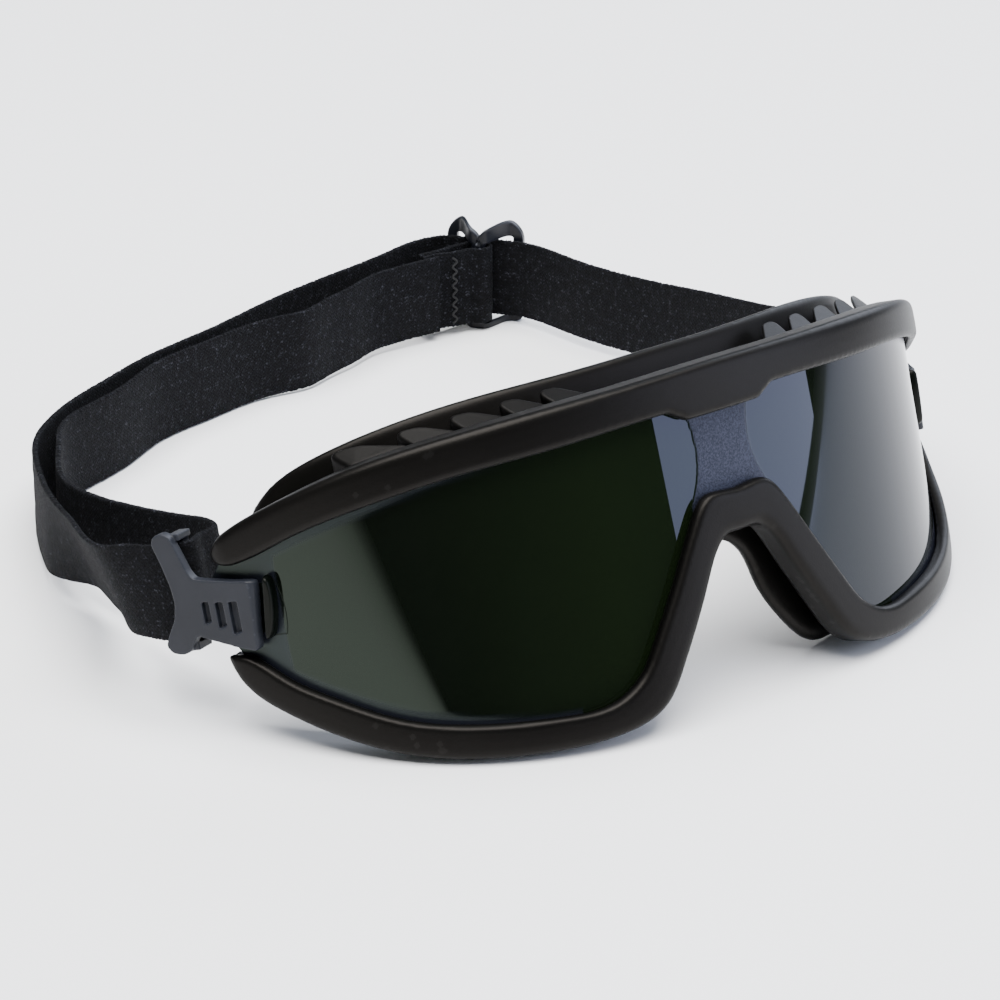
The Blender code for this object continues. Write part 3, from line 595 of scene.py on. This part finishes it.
FRAME_MAT = soft_black()
VENT_MAT = moulded(
    "vent_black_detail", dark=(0.0008, 0.0008, 0.0008), light=(0.0014, 0.00135, 0.0013),
    worn=(0.006, 0.0058, 0.0056), rough=0.42, shine=0.10)
CLIP_MAT = moulded(
    "slate_clip_detail", dark=(0.0105, 0.0122, 0.0170), light=(0.0140, 0.0160, 0.0220),
    worn=(0.030, 0.034, 0.044), rough=0.44, shine=0.22)
SLIDE_MAT = moulded(
    "slate_slider_detail", dark=(0.0040, 0.0046, 0.0074), light=(0.0064, 0.0076, 0.0112),
    worn=(0.018, 0.020, 0.027), rough=0.38, shine=0.22)
ANCHOR_MAT = moulded(
    "anchor_green_black_detail", dark=(0.0012, 0.0020, 0.0014), light=(0.0020, 0.0030, 0.0022),
    worn=(0.004, 0.006, 0.0045), rough=0.30, shine=0.10, scale=3000.0)
LENS_MAT = lens_glass()
BAND_MAT = elastic()
THREAD_MAT = thread()


def place(obj, mat, body, slot, *nodes):
    """Material, body and replaced nodes of a finished piece."""
    obj.data.materials.clear()
    obj.data.materials.append(mat)
    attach(obj, body)
    if nodes:
        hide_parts(*nodes)
    return obj


# ---------------------------------------------------------------- soft frame

def body_rows(per_half):
    """Stations of the whole ring, evenly spaced, each half with its mirror beyond its ends."""
    rows = list(BODY_STATIONS)
    wide = [flip(rows[2]), flip(rows[1])] + rows + [flip(rows[-2]), flip(rows[-3])]
    knots = 0.5 * lengths(wide, [2, 3]) + 0.5 * lengths(wide, [4, 5])
    where = np.linspace(knots[2], knots[-3], per_half)
    half = spline(knots, wide, where)
    left = [np.array(flip(r)) for r in half[1:-1][::-1]]
    return list(half) + left


def body_section(row):
    """Lip behind the lens, side wall, vent trough and face flange at one station."""
    si, zi, so, zo, sf, zf, df = row
    ds = so - si
    dz = zo - zi

    def near(frac, n, d=0.0):
        return on_lens(si + frac * ds, n, d, zi + frac * dz)

    def far(frac, d):
        return on_lens(sf + frac * ds, 0.0, d, zf + frac * dz)

    floor_front = near(0.06, -6.2)
    floor_back = floor_front.lerp(far(-1.15, df - 3.6), 0.86)
    ring = [
        near(-0.24, LIP_FRONT), near(0.92, LIP_FRONT), near(0.92, LIP_BACK), floor_front, floor_back,
        far(-0.12, df - 2.7), far(0.0, df - 2.0), far(-0.04, df), far(-1.1, df + 0.7), far(-1.32, df - 1.6),
        near(-0.24, -5.6),
    ]
    return chamfered(ring, [0, 0, 0.7, 1.6, 1.8, 0.5, 0.5, 0.5, 0.8, 0.8, 1.5], 3)


def rim_section(si, zi, so, zo, drop, shrink):
    """Rim bar: flat front with a small radius, crowned slightly, groove behind it."""
    ds = so - si
    dz = zo - zi

    def at(frac, n, lower=0.0):
        f = 0.55 + (frac - 0.55) * shrink
        m = n if n <= GAP else GAP + (n - GAP) * (0.35 + 0.65 * shrink)
        return on_lens(si + f * ds, m, 0.0, zi + f * dz - lower)

    return [
        at(0.0, GAP, drop), at(0.0, 1.7, drop), at(0.015, 2.3, drop), at(0.06, 2.78, drop),
        at(0.14, RIM_FRONT, drop), at(0.45, RIM_FRONT + 0.02, 0.5 * drop), at(0.76, RIM_FRONT - 0.06),
        at(0.89, 2.72), at(0.965, 2.2), at(1.0, 1.4),
        at(1.0, -3.2), at(0.93, RIM_BACK), at(0.48, RIM_BACK), at(0.48, GAP),
    ]


def brow_drop(s):
    """How far the upper rim's lower edge comes down over the nose."""
    (inner_s, inner_z), (outer_s, outer_z) = BROW
    t = (abs(s) - inner_s) / (outer_s - inner_s)
    return (outer_z - inner_z) * (1.0 - min(max(t, 0.0), 1.0))


def tip_shrink(s, tip):
    """Scale of the rim's section, which closes round a tip."""
    where, size = tip
    end = max(0.0, 1.0 - (where - abs(s)) / size)
    return math.sqrt(max(0.0, 1.0 - (TIP_CLOSE * min(end, 1.0)) ** 2))


def top_rim_rows(per_half):
    rows = list(TOP_RIM)
    wide = [flip(rows[2]), flip(rows[1])] + rows
    knots = lengths(wide, [2, 3])
    stops = list(np.linspace(knots[2], knots[-1], per_half))
    stops += [knots[2] + BROW[0][0], knots[2] + BROW[1][0]]
    stops += [knots[-1] - k for k in TIP_STOPS]
    return spline(knots, wide, sorted(stops))


def top_rim_mesh(per_half):
    half = top_rim_rows(per_half)
    rings = []
    for row in [np.array(flip(r)) for r in half[1:][::-1]] + list(half):
        rings.append(rim_section(*row[:4], brow_drop(row[0]), tip_shrink(row[2], TOP_TIP)))
    return loft(rings)


def low_rim_rows(per_half):
    rows = list(LOW_RIM_END) + [r[:4] for r in BODY_STATIONS[9:]]
    wide = rows + [flip(rows[-2]), flip(rows[-3])]
    knots = 0.5 * lengths(wide, [2, 3]) + 0.5 * lengths(wide, [0, 1])
    stops = list(np.linspace(knots[0], knots[-3], per_half))
    stops += [knots[0] + k for k in TIP_STOPS]
    return spline(knots, wide, sorted(stops))


def low_rim_mesh(per_half):
    half = low_rim_rows(per_half)
    rings = []
    for row in list(half) + [np.array(flip(r)) for r in half[:-1][::-1]]:
        rings.append(rim_section(*row[:4], 0.0, tip_shrink(row[2], LOW_TIP)))
    return loft(rings)


def port(s, side):
    """Block that cuts one air port."""
    d0, d1 = PORT_DEPTH
    z0, z1 = (ridge(s) - 1.0 - drop for drop in PORT_DROP)
    rings = []
    for where in np.linspace(side * (s - PORT_HALF), side * (s + PORT_HALF), 3):
        rings.append([on_lens(where, 0.0, d, z) for d, z in ((d0, z0), (d1, z0), (d1, z1), (d0, z1))])
    return loft(rings)


def ridge(s):
    """Height of the brow's crest."""
    q = (abs(s) / 80.0) ** 2
    return 26.9 - 1.6 * q - 3.4 * q * q


def make_frame():
    rows = 170
    body = store(loft([body_section(r) for r in body_rows(rows)], loop=True), "frame_moulding")
    join_solid(body, store(top_rim_mesh(180), "top_rim_form"), 'UNION')
    join_solid(body, store(low_rim_mesh(200), "low_rim_form"), 'UNION')
    ports = bmesh.new()
    for side in (-1, 1):
        for s in VENT_S:
            merge(ports, port(s, side))
    join_solid(body, store(ports, "port_form"), 'DIFFERENCE')
    soften(body, 0.42, 5)
    return place(body, FRAME_MAT, "goggle", "soft_black_frame", "frame_body")


# ---------------------------------------------------------------- lens

def tucked(row):
    """Point of the lens's edge under a station of the rim."""
    return row[0] + LENS_TUCK * (row[2] - row[0]), row[1] + LENS_TUCK * (row[3] - row[1])


def lens_edge_tables():
    """Top and bottom edges of the lens: under the rims, then bare round the temple."""
    up = [tucked(r) for r in top_rim_rows(44)]
    up = [p for p in up if p[0] < 108.4] + [(109.6, 6.9), (110.9, 5.2), (112.4, 3.4)]
    low = [tucked(r) for r in low_rim_rows(62)]
    low = sorted(p for p in low if p[0] < 107.6) + [(109.2, -10.9), (110.9, -9.4), (112.4, -7.6)]
    return np.array(up).T, np.array(low).T


LENS_TABLES = lens_edge_tables()


def lens_edges(s):
    """Top and bottom edges of the lens."""
    up, low = LENS_TABLES
    return np.interp(abs(s), up[0], up[1]), np.interp(abs(s), low[0], low[1])


def patch_value(s, z):
    """1 inside the stippled bridge patch, which is waisted at mid height."""
    half = 6.7 + (1.8 if z > 10.0 else 2.6) * min(abs(z - 10.0) / 9.5, 1.15) ** 2
    return (1.0 - smooth_step(abs(s), half - 0.12, half + 0.12)) * smooth_step(z, -4.0, -2.0)


def border_value(s, z):
    """1 on the satin border: outside a curved line near the temple, and a thin margin along the rim."""
    line = 97.9 - 0.012 * max(0.0, abs(z + 5.0) - 7.0) ** 2
    top, low = lens_edges(s)
    margin = 2.9 + 2.2 * smooth_step(abs(s), 42.0, 86.0)
    rim = 1.0 - smooth_step(min(z - low, top - z), margin - 0.8, margin + 0.8)
    return max(smooth_step(abs(s), line - 0.25, line + 0.25), rim if abs(s) > 42.0 else 0.0)


def make_lens():
    """Lens as one curved shell, with the values that its material reads stored at each vertex."""
    stops = list(np.round(np.linspace(0.0, 106.0, 300), 3))
    stops += [108.0, 109.6, 110.9, 112.4]
    full = [-s for s in reversed(stops[1:])] + stops
    ups = 52
    rings = []
    data = []
    for s in full:
        top, low = lens_edges(s)
        ring = [(low, -LENS_T), (low, -0.35), (low + 0.12, -0.10), (low + 0.35, 0.0)]
        for t in np.linspace(0.0, 1.0, ups)[1:-1]:
            ring.append((low + 0.35 + t * (top - low - 0.7), 0.0))
        ring += [(top - 0.35, 0.0), (top - 0.12, -0.10), (top, -0.35), (top, -LENS_T)]
        for t in np.linspace(1.0, 0.0, ups)[1:-1]:
            ring.append((low + t * (top - low), -LENS_T))
        made = []
        for z, n in ring:
            front = n > -0.05 and max(-1.0, low + 0.6) < z < min(22.0, top - 0.6)
            lift = PATCH_LIFT * patch_value(s, z) if front else 0.0
            made.append(on_lens(s, n + lift, 0.0, z))
            data.append((s, z, n))
        rings.append(made)
    obj = store(loft(rings), "shade_lens")
    data = np.array(data)
    fields = {
        "lens_along": data[:, 0],
        "lens_up": data[:, 1],
        "bridge_patch": np.array([patch_value(s, z) if n > -0.5 else 0.0 for s, z, n in data]),
        "satin_border": np.array([border_value(s, z) if n > -0.5 else 0.0 for s, z, n in data]),
    }
    for key, values in fields.items():
        attr = obj.data.attributes.new(key, 'FLOAT', 'POINT')
        attr.data.foreach_set("value", values.astype(np.float32))
    return place(obj, LENS_MAT, "goggle", "shade_green_lens", "lens")


# ---------------------------------------------------------------- vents

def hood_roof(s, d):
    return ridge(s) + 0.9 - 0.53 * (12.6 - d)


def make_vent(side, index):
    """Scale-shaped hood: closed outside and towards the rim, open behind towards the middle."""
    s0 = VENT_S[index]
    end = s0 + VENT_REACH
    base = ridge(s0) - 5.9 - 0.15 * (s0 / 70.0) ** 2
    turn = float(np.interp(s0, TABLE[0], TABLE[3]))
    front = 5.0 / math.cos(turn) + 1.5
    reach = VENT_S[index] - VENT_S[index - 1] + 0.4 if index else 9.3
    name = "vent_hood_%s_%d" % ("left" if side < 0 else "right", index + 1)
    plan = [Vector((s, d, 0.0)) for s, d in (
        (end - 0.9, front), (end - reach + 0.3, front), (end - reach, front + 0.9),
        (end - 0.45 * reach, 13.0), (end - 1.3, 13.2), (end - 0.4, 12.7), (end, 11.6))]
    plan = [(p.x, p.y) for p in chamfered(plan, [0.6, 0.4, 0.4, 1.4, 0.6, 0.5, 1.0], 4)]
    hollow = [(end - 2.0, front + 1.1), (end - reach + 2.7, front + 1.1),
              (end - 0.9 * reach, 13.9), (end - 2.2, 13.9)]
    cs = sum(p[0] for p in plan) / len(plan)
    cd = sum(p[1] for p in plan) / len(plan)

    def ring(points, drop, much=0.0, level=None):
        out = []
        for s, d in points:
            s = s + (cs - s) * much
            d = d + (cd - d) * much
            out.append(on_lens(side * s, 0.0, d, hood_roof(s, d) - drop if level is None else level))
        return out

    rings = [ring(plan, 0.0, 0.0, base), ring(plan, 0.75)]
    rings += [ring(plan, 0.42, 0.025), ring(plan, 0.16, 0.08), ring(plan, 0.04, 0.16), ring(plan, 0.05, 0.45)]
    hood = store(loft(rings), "hood_" + name[10:])
    core = store(loft([ring(hollow, 0.0, 0.0, base - 0.6), ring(hollow, 1.2)]), "core_form")
    join_solid(hood, core, 'DIFFERENCE')
    soften(hood, 0.14, 2)
    return place(hood, VENT_MAT, "goggle", "vent_black", name)


# ---------------------------------------------------------------- clips

# Side outline of a clip from its upper front corner, down and round the two arms. Then its slots: place,
# lower end, upper end and half width.
CLIP_OUTLINE = (
    (CLIP_FRONT, 2.9), (102.6, -11.4), (107.5, -10.1), (113.4, -8.1), (115.8, -7.2),
    (116.7, -8.4), (117.9, -10.3), (119.7, -10.9), (122.1, -10.4), (123.3, -8.8), (122.3, -6.8),
    (120.3, -3.6), (119.5, -0.2), (119.9, 3.4), (121.1, 8.2), (122.3, 12.0), (121.6, 13.5),
    (119.6, 14.1), (117.9, 13.1), (116.7, 9.6), (115.4, 5.8), (114.4, 4.3), (112.0, 3.9), (106.0, 3.2),
)
CLIP_SLOTS = ((112.7, -5.0, -0.5, 0.75), (109.6, -6.1, -0.8, 0.85), (106.5, -7.5, -0.9, 0.95))


def make_clip(side):
    """Side clip: plate with two arms, a bar on two lugs, and three slots."""
    word = "left" if side < 0 else "right"
    outline = [Vector((s, z, 0.0)) for s, z in CLIP_OUTLINE]
    outline = chamfered(outline, [1.2, 1.2] + [0.7] * (len(outline) - 2), 3)

    def layer(n, front):
        out = []
        for p in outline:
            lead = max(0.0, 1.0 - (p.x - CLIP_FRONT) / 3.0)
            out.append(on_lens(side * (p.x + front * lead), n, 0.0, p.y))
        return out

    rings = [layer(CLIP_IN, 0.0), layer(2.2, 0.1), layer(3.0, 0.55), layer(CLIP_OUT, 1.5)]
    clip = store(loft(rings), "side_clip_" + word)
    bar = []
    for z in (-9.9, 12.9):
        bar.append([on_lens(side * (BAR_S + BAR_R * math.cos(k * math.pi / 12.0)),
                            BAR_N + BAR_R * math.sin(k * math.pi / 12.0), 0.0, z) for k in range(24)])
    join_solid(clip, store(loft(bar), "bar_form"), 'UNION')
    for z0, z1 in ((-10.5, -8.9), (11.9, 13.3)):
        rings = []
        for s in (BAR_S - 1.25, BAR_S + 1.25):
            rings.append([on_lens(side * s, n, 0.0, z) for n, z in
                          ((BAR_N - 1.3, z0), (2.0, z0), (2.0, z1), (BAR_N - 1.3, z1))])
        join_solid(clip, store(loft(rings), "lug_form"), 'UNION')
    for s, z0, z1, w in CLIP_SLOTS:
        rings = []
        for n in (2.3, 4.4):
            rings.append([on_lens(side * (s + ds), n, 0.0, z) for ds, z in
                          ((-w, z0 + 0.5), (w, z0), (w, z1), (-w, z1))])
        join_solid(clip, store(loft(rings), "slot_form"), 'DIFFERENCE')
    soften(clip, 0.16, 7)
    return place(clip, CLIP_MAT, "headband", "slate_clip", "strap_clip_" + word)


def boss_line(z):
    """Rear edge of the clip boss, parallel to the front of the clip."""
    return CLIP_FRONT - 0.5 - 0.126 * (z - BOSS_MID)


def make_anchor(side):
    """Boss with a rounded nose, and the thin tongue that runs under the clip."""
    word = "left" if side < 0 else "right"
    nose = []
    for k in range(31):
        ang = math.pi * k / 30.0
        z = BOSS_MID + BOSS_HALF * math.cos(ang)
        nose.append((boss_line(z) - 2.0 * math.sin(ang) ** 0.7, z))
    nose += [(boss_line(z) + 0.2, z) for z in (-8.9, -4.0, 2.6)]

    def layer(n, inset):
        out = []
        for s, z in nose:
            mid = boss_line(z) - 0.8
            out.append(on_lens(side * (s + (mid - s) * 0.45 * inset), n, 0.0,
                               BOSS_MID + (z - BOSS_MID) * (1.0 - inset / BOSS_HALF)))
        return out

    steps = ((GAP, 0.0), (1.9, 0.0), (2.5, 0.18), (2.9, 0.5), (3.1, 1.0))
    boss = store(loft([layer(n, inset) for n, inset in steps]), "clip_boss_" + word)
    tongue = []
    for n in (GAP, 0.72):
        tongue.append([on_lens(side * s, n, 0.0, z) for s, z in
                       ((110.0, -7.4), (110.0, 1.6), (99.3, 1.8), (100.5, -8.2), (102.6, -8.2))])
    join_solid(boss, store(loft(tongue), "tongue_form"), 'UNION')
    soften(boss, 0.12, 3)
    return place(boss, ANCHOR_MAT, "goggle", "anchor_green_black", "clip_anchor_" + word)


# ---------------------------------------------------------------- headband

def slider_point(u, v):
    """Plan position u along the slide and v out of its face."""
    ux, uy = SLIDER_DIR
    return SLIDER_AT[0] + u * ux - v * uy, SLIDER_AT[1] + u * uy + v * ux


def bar_plan(side):
    """Plan position of a clip's bar, at the middle of its height."""
    p = on_lens(side * BAR_S, BAR_N, 0.0, 2.0)
    return p.x, p.y


def clip_lift(y):
    """Height of the band's lower edge where it lies round a clip's bar."""
    return STAND - 0.5 * STRAP_W - (y * math.sin(LEAN) - BAND_MID) / math.cos(LEAN)


def round_bar(cx, cy, radius, start, end, lift, steps):
    """Points of the band round an upright bar, from one angle to another."""
    out = []
    for k in range(steps + 1):
        ang = math.radians(start + (end - start) * k / steps)
        y = cy + radius * math.sin(ang)
        out.append((cx + radius * math.cos(ang), y, clip_lift(y) if lift is None else lift))
    return out


def tighten(path):
    """Drop points that are too close in plan to give a direction."""
    out = [path[0]]
    for p in path[1:]:
        if math.hypot(p[0] - out[-1][0], p[1] - out[-1][1]) > 0.2:
            out.append(p)
    return np.array(out)


def left_splay(x, y):
    """Outward lean of the outer ply where it bends round at the left."""
    if x >= -85.5:
        return 0.0
    return LEFT_SPLAY * smooth_step(y, 58.0, 84.0) * smooth_step(122.0 - y, 0.0, 24.0)


def band_tilt(y):
    """Backward lean of the band, which fades out behind the clips."""
    return LEAN * min(max((100.0 - y) / 40.0, 0.0), 1.0)


def band_profile(cells):
    """Section of the band as face offset and height: flat faces and rounded selvedges."""
    half_w = 0.5 * STRAP_W
    half_t = 0.5 * STRAP_T
    reach = half_w - SELVEDGE
    levels = [-reach + 2.0 * reach * k / cells for k in range(cells + 1)]
    turns = [math.radians(ang) for ang in (60, 30, 0, -30, -60)]
    profile = [(half_t, z) for z in levels]
    profile += [(half_t * math.sin(ang), reach + SELVEDGE * math.cos(ang)) for ang in turns]
    profile += [(-half_t, -z) for z in levels]
    profile += [(-half_t * math.sin(ang), -reach - SELVEDGE * math.cos(ang)) for ang in turns]
    return profile


def ribbon(points, name, spacing, seed):
    """Knitted band on edge: rounded selvedges that scallop at every stitch row, faint waves in its face."""
    pts = np.array(points, float)
    knots = lengths(pts, [0, 1])
    count = max(8, int(knots[-1] / spacing))
    where = np.linspace(0.0, knots[-1], count)
    path = tighten(spline(knots, pts, where))
    run = lengths(path, [0, 1])
    rng = np.random.default_rng(seed)
    ripple = np.convolve(rng.normal(0.0, 1.0, len(path) + 40), np.hanning(41) / 20.0, 'valid')[:len(path)]
    jag = rng.normal(0.0, 1.0, (len(path), 2))
    half_w = 0.5 * STRAP_W
    profile = band_profile(24)
    around = [0.0]
    for k in range(len(profile)):
        a = profile[k]
        b = profile[(k + 1) % len(profile)]
        around.append(around[-1] + math.hypot(b[0] - a[0], b[1] - a[1]))
    rings = []
    for i, p in enumerate(path):
        a = path[max(0, i - 1)]
        b = path[min(len(path) - 1, i + 1)]
        tangent = Vector((b[0] - a[0], b[1] - a[1], 0.0)).normalized()
        side = Vector((tangent.y, -tangent.x, 0.0))
        tilt = band_tilt(p[1])
        splay = left_splay(p[0], p[1])
        up = Vector((-math.sin(splay), math.sin(tilt), math.cos(tilt))).normalized()
        mid = Vector((p[0] + half_w * math.sin(splay), p[1], p[2] + half_w))
        ring = []
        for x, z in profile:
            edge = smooth_step(abs(z), half_w - 1.6, half_w)
            low = 0 if z < 0 else 1
            scallop = edge * (0.10 * jag[i][low] + 0.09 * math.sin(2.0 * math.pi * run[i] / STITCH_PITCH))
            inward = max(0.0, scallop + 0.10 * edge)
            rib = 0.05 * math.cos(2.0 * math.pi * z / RIB_PITCH) * (1.0 - edge) - 0.05
            wave = 0.10 * ripple[i] * math.sin(z * 0.35 + 0.05 * run[i])
            x2 = math.copysign(max(0.05, abs(x) + rib), x) if abs(x) > 0.2 else x
            ring.append(mid + side * (x2 + wave) + up * (z - math.copysign(inward, z)))
        rings.append(ring)
    return store(loft(rings, uv=lambda r, c: (run[r] * MM, around[c] * MM)), name)


def make_band():
    """The long band, doubled on the left, and the short loop sewn round the slide's middle bar."""
    r = BAR_R + GAP + 0.5 * STRAP_T + 0.05
    lx, ly = bar_plan(-1)
    rx, ry = bar_plan(1)
    path = list(INNER_PLY)
    path += round_bar(lx, ly, r, -65.0, -150.0, None, 5)
    path += list(OUTER_PLY)
    for u, v in ((-9.0, -0.25), (-4.5, -0.05), (0.0, 0.0), (4.5, -0.05), (9.0, -0.25)):
        x, y = slider_point(u, v)
        path.append((x, y, SLIDER_LIFT))
    path += list(RIGHT_RUN)
    path += round_bar(rx, ry, r, -30.0, -140.0, None, 5)
    path += [(rx - 4.4, ry + 3.2, None), (rx - 2.0, ry + 9.6, 14.9), (rx + 1.6, ry + 15.0, 13.6),
             (rx + 2.4, ry + 22.0, 12.0), (rx + 2.0, ry + 30.0, 10.4)]
    path = [(x, y, clip_lift(y) if lift is None else lift) for x, y, lift in path]
    band = ribbon(path, "elastic_band", 0.26, 7)
    place(band, BAND_MAT, "headband", "black_elastic", "elastic_strap")
    cx, cy = slider_point(0.0, -4.75)
    facing = math.degrees(math.atan2(SLIDER_DIR[1], SLIDER_DIR[0]))
    r = 1.75 + GAP + 0.5 * STRAP_T
    path = [(63.4, 186.9, 2.0), (67.5, 186.5, 2.0), (72.5, 185.0, 2.0)]
    path += round_bar(cx, cy, r, facing - 95.0, facing + 95.0, SLIDER_LIFT, 9)
    path += [(74.6, 188.6, 2.0), (68.6, 188.4, 2.0), (63.4, 188.7, 2.0)]
    loop = ribbon(path, "sewn_loop", 0.26, 11)
    place(loop, BAND_MAT, "band_slide", "black_elastic", "strap_sewn_loop")


def make_slider():
    """Two-window slide: middle bar set inwards, end bars outside the band."""
    low = -1.9
    high = STRAP_W + 4.4
    path = bpy.data.curves.new("slide_form", 'CURVE')
    path.dimensions = '2D'
    path.fill_mode = 'BOTH'
    path.extrude = 0.75 * MM
    path.bevel_depth = 0.35 * MM
    path.bevel_resolution = 4

    def add(points):
        line = path.splines.new('POLY')
        line.points.add(len(points) - 1)
        for i, p in enumerate(points):
            line.points[i].co = (p[0] * MM, p[1] * MM, 0.0, 1.0)
        line.use_cyclic_u = True

    outer = [(-9.4, low + 1.8), (-9.1, low + 0.95), (-8.6, low + 0.5), (-7.4, low + 0.25)]
    outer += [(7.4, low + 0.25), (8.6, low + 0.5), (9.1, low + 0.95), (9.4, low + 1.8)]
    for c in (4.45, -4.45):
        for k in range(25):
            ang = math.radians(4.0 + 172.0 * k / 24.0)
            if (c > 0 and k == 24) or (c < 0 and k == 0):
                continue
            outer.append((c + 4.95 * math.cos(ang), high - 5.2 + 4.95 * math.sin(ang)))
    add(outer)
    for c in (4.4, -4.4):
        hole = [(c - 3.1, -0.7), (c + 3.1, -0.7)]
        for k in range(17):
            ang = math.radians(180.0 * k / 16.0)
            hole.append((c + 3.1 * math.cos(ang), STRAP_W + 0.3 + 0.7 * math.sin(ang)))
        add(hole)
    mesh = curve_mesh(path)
    bm = bmesh.new()
    bm.from_mesh(mesh)
    bpy.data.meshes.remove(mesh)
    bmesh.ops.scale(bm, vec=(1000.0, 1000.0, 1000.0), verts=bm.verts)
    bmesh.ops.remove_doubles(bm, verts=bm.verts, dist=0.01)
    for u in np.arange(-9.0, 9.1, 0.4):
        geom = bm.verts[:] + bm.edges[:] + bm.faces[:]
        bmesh.ops.bisect_plane(bm, geom=geom, plane_co=(u, 0, 0), plane_no=(1, 0, 0), dist=0.0001)
    for v in bm.verts:
        bow = -4.7 + 7.1 * smooth_step(abs(v.co.x), 1.5, 6.9)
        x, y = slider_point(v.co.x, v.co.z + bow)
        v.co = Vector((x, y, v.co.y + SLIDER_LIFT))
    slide = store(bm, "band_slide_plate")
    soften(slide, 0.16, 3)
    return place(slide, SLIDE_MAT, "band_slide", "slate_slider", "strap_slider")


def bar_tack(points, name, body, node):
    """A bar tack: zigzag of thread standing up the band."""
    path = bpy.data.curves.new(name, 'CURVE')
    path.dimensions = '3D'
    path.bevel_depth = TACK_R * MM
    path.bevel_resolution = 4
    path.use_fill_caps = True
    line = path.splines.new('POLY')
    fine = spline(range(len(points)), points, np.linspace(0, len(points) - 1, 8 * len(points)))
    line.points.add(len(fine) - 1)
    for i, p in enumerate(fine):
        line.points[i].co = (p[0] * MM, (p[1] + SET_BACK) * MM, p[2] * MM, 1.0)
    mesh = curve_mesh(path)
    obj = bpy.data.objects.new(name, mesh)
    bpy.context.scene.collection.objects.link(obj)
    for poly in mesh.polygons:
        poly.use_smooth = True
    return place(obj, THREAD_MAT, body, "tack_thread", node)


def make_tacks():
    """Tacks at the slide and at the right clip."""
    left = []
    for k in range(TACK_TURNS):
        x = 71.2 + (0.5 if k % 2 else -0.5)
        left.append((x, 184.10 - 0.30 * (x - 71.2), SLIDER_LIFT + 1.4 + k * 1.23))
    bar_tack(left, "slide_tack", "band_slide", "bar_tack_slider")
    rx, ry = bar_plan(1)
    right = []
    for k in range(TACK_TURNS):
        h = 1.6 + k * 1.2
        y = ry + 25.0 + (0.5 if k % 2 else -0.5)
        tilt = band_tilt(y)
        right.append((rx + 1.15, y + (h - 10.0) * math.sin(tilt), 21.4 + (h - 10.0) * math.cos(tilt)))
    bar_tack(right, "clip_tack", "headband", "bar_tack_right")


# ---------------------------------------------------------------- stage

def soft_box(name, at, aim, size, power, colour=(1.0, 1.0, 1.0)):
    """Rectangular light that faces its aim."""
    light = bpy.data.lights.new(name, 'AREA')
    light.shape = 'RECTANGLE'
    light.size = size[0]
    light.size_y = size[1]
    light.energy = power
    light.color = colour
    obj = bpy.data.objects.new(name, light)
    obj.location = at
    obj.rotation_euler = (Vector(aim) - Vector(at)).to_track_quat('-Z', 'Y').to_euler()
    bpy.context.scene.collection.objects.link(obj)
    return obj


def make_stage():
    """Paper floor, dim surround and four soft boxes, which the lens mirrors."""
    bm = bmesh.new()
    bmesh.ops.create_grid(bm, x_segments=8, y_segments=8, size=3.0)
    mesh = bpy.data.meshes.new("studio_floor")
    bm.to_mesh(mesh)
    bm.free()
    floor = bpy.data.objects.new("studio_floor", mesh)
    floor.location = (0.0, 0.0, CAD_LOW[2])
    mesh.materials.append(floor_paper())
    bpy.context.scene.collection.objects.link(floor)
    world = bpy.data.worlds.new("studio_air")
    world.use_nodes = True
    background = world.node_tree.nodes["Background"]
    background.inputs["Color"].default_value = (0.88, 0.90, 0.94, 1.0)
    background.inputs["Strength"].default_value = 0.13
    bpy.context.scene.world = world
    soft_box("key_overhead", (-0.15, -0.10, 1.5), (0.0, 0.0, 0.0), (1.6, 1.6), 98.0)
    soft_box("front_right", (1.005, -1.20, 0.50), (0.0, -0.06, 0.04), (0.92, 1.0), 20.0, (0.74, 0.80, 1.0))
    soft_box("right_side", (1.25, 0.36, 0.70), (0.0, 0.0, 0.04), (1.15, 0.8), 17.0, (0.80, 0.86, 1.0))
    soft_box("front_left", (-1.25, -0.55, 0.45), (0.0, -0.06, 0.04), (0.55, 0.8), 0.75, (0.86, 1.0, 0.84))


def make_camera():
    """The photograph's view, from the goggle's front left."""
    data = bpy.data.cameras.new("photo_view")
    data.lens = 144.0
    data.sensor_width = 36.0
    data.clip_start = 0.05
    data.clip_end = 20.0
    cam = bpy.data.objects.new("photo_view", data)
    at = Vector((-0.486165, -0.640391, 0.368393))
    aim = Vector((-0.036856, -0.065302, 0.040682))
    cam.location = at
    cam.rotation_euler = (aim - at).to_track_quat('-Z', 'Y').to_euler()
    bpy.context.scene.collection.objects.link(cam)
    bpy.context.scene.camera = cam


make_camera()
make_frame()
make_lens()
for half in (-1, 1):
    for number in range(len(VENT_S)):
        make_vent(half, number)
    make_anchor(half)
    make_clip(half)
make_band()
make_slider()
make_tacks()
make_stage()
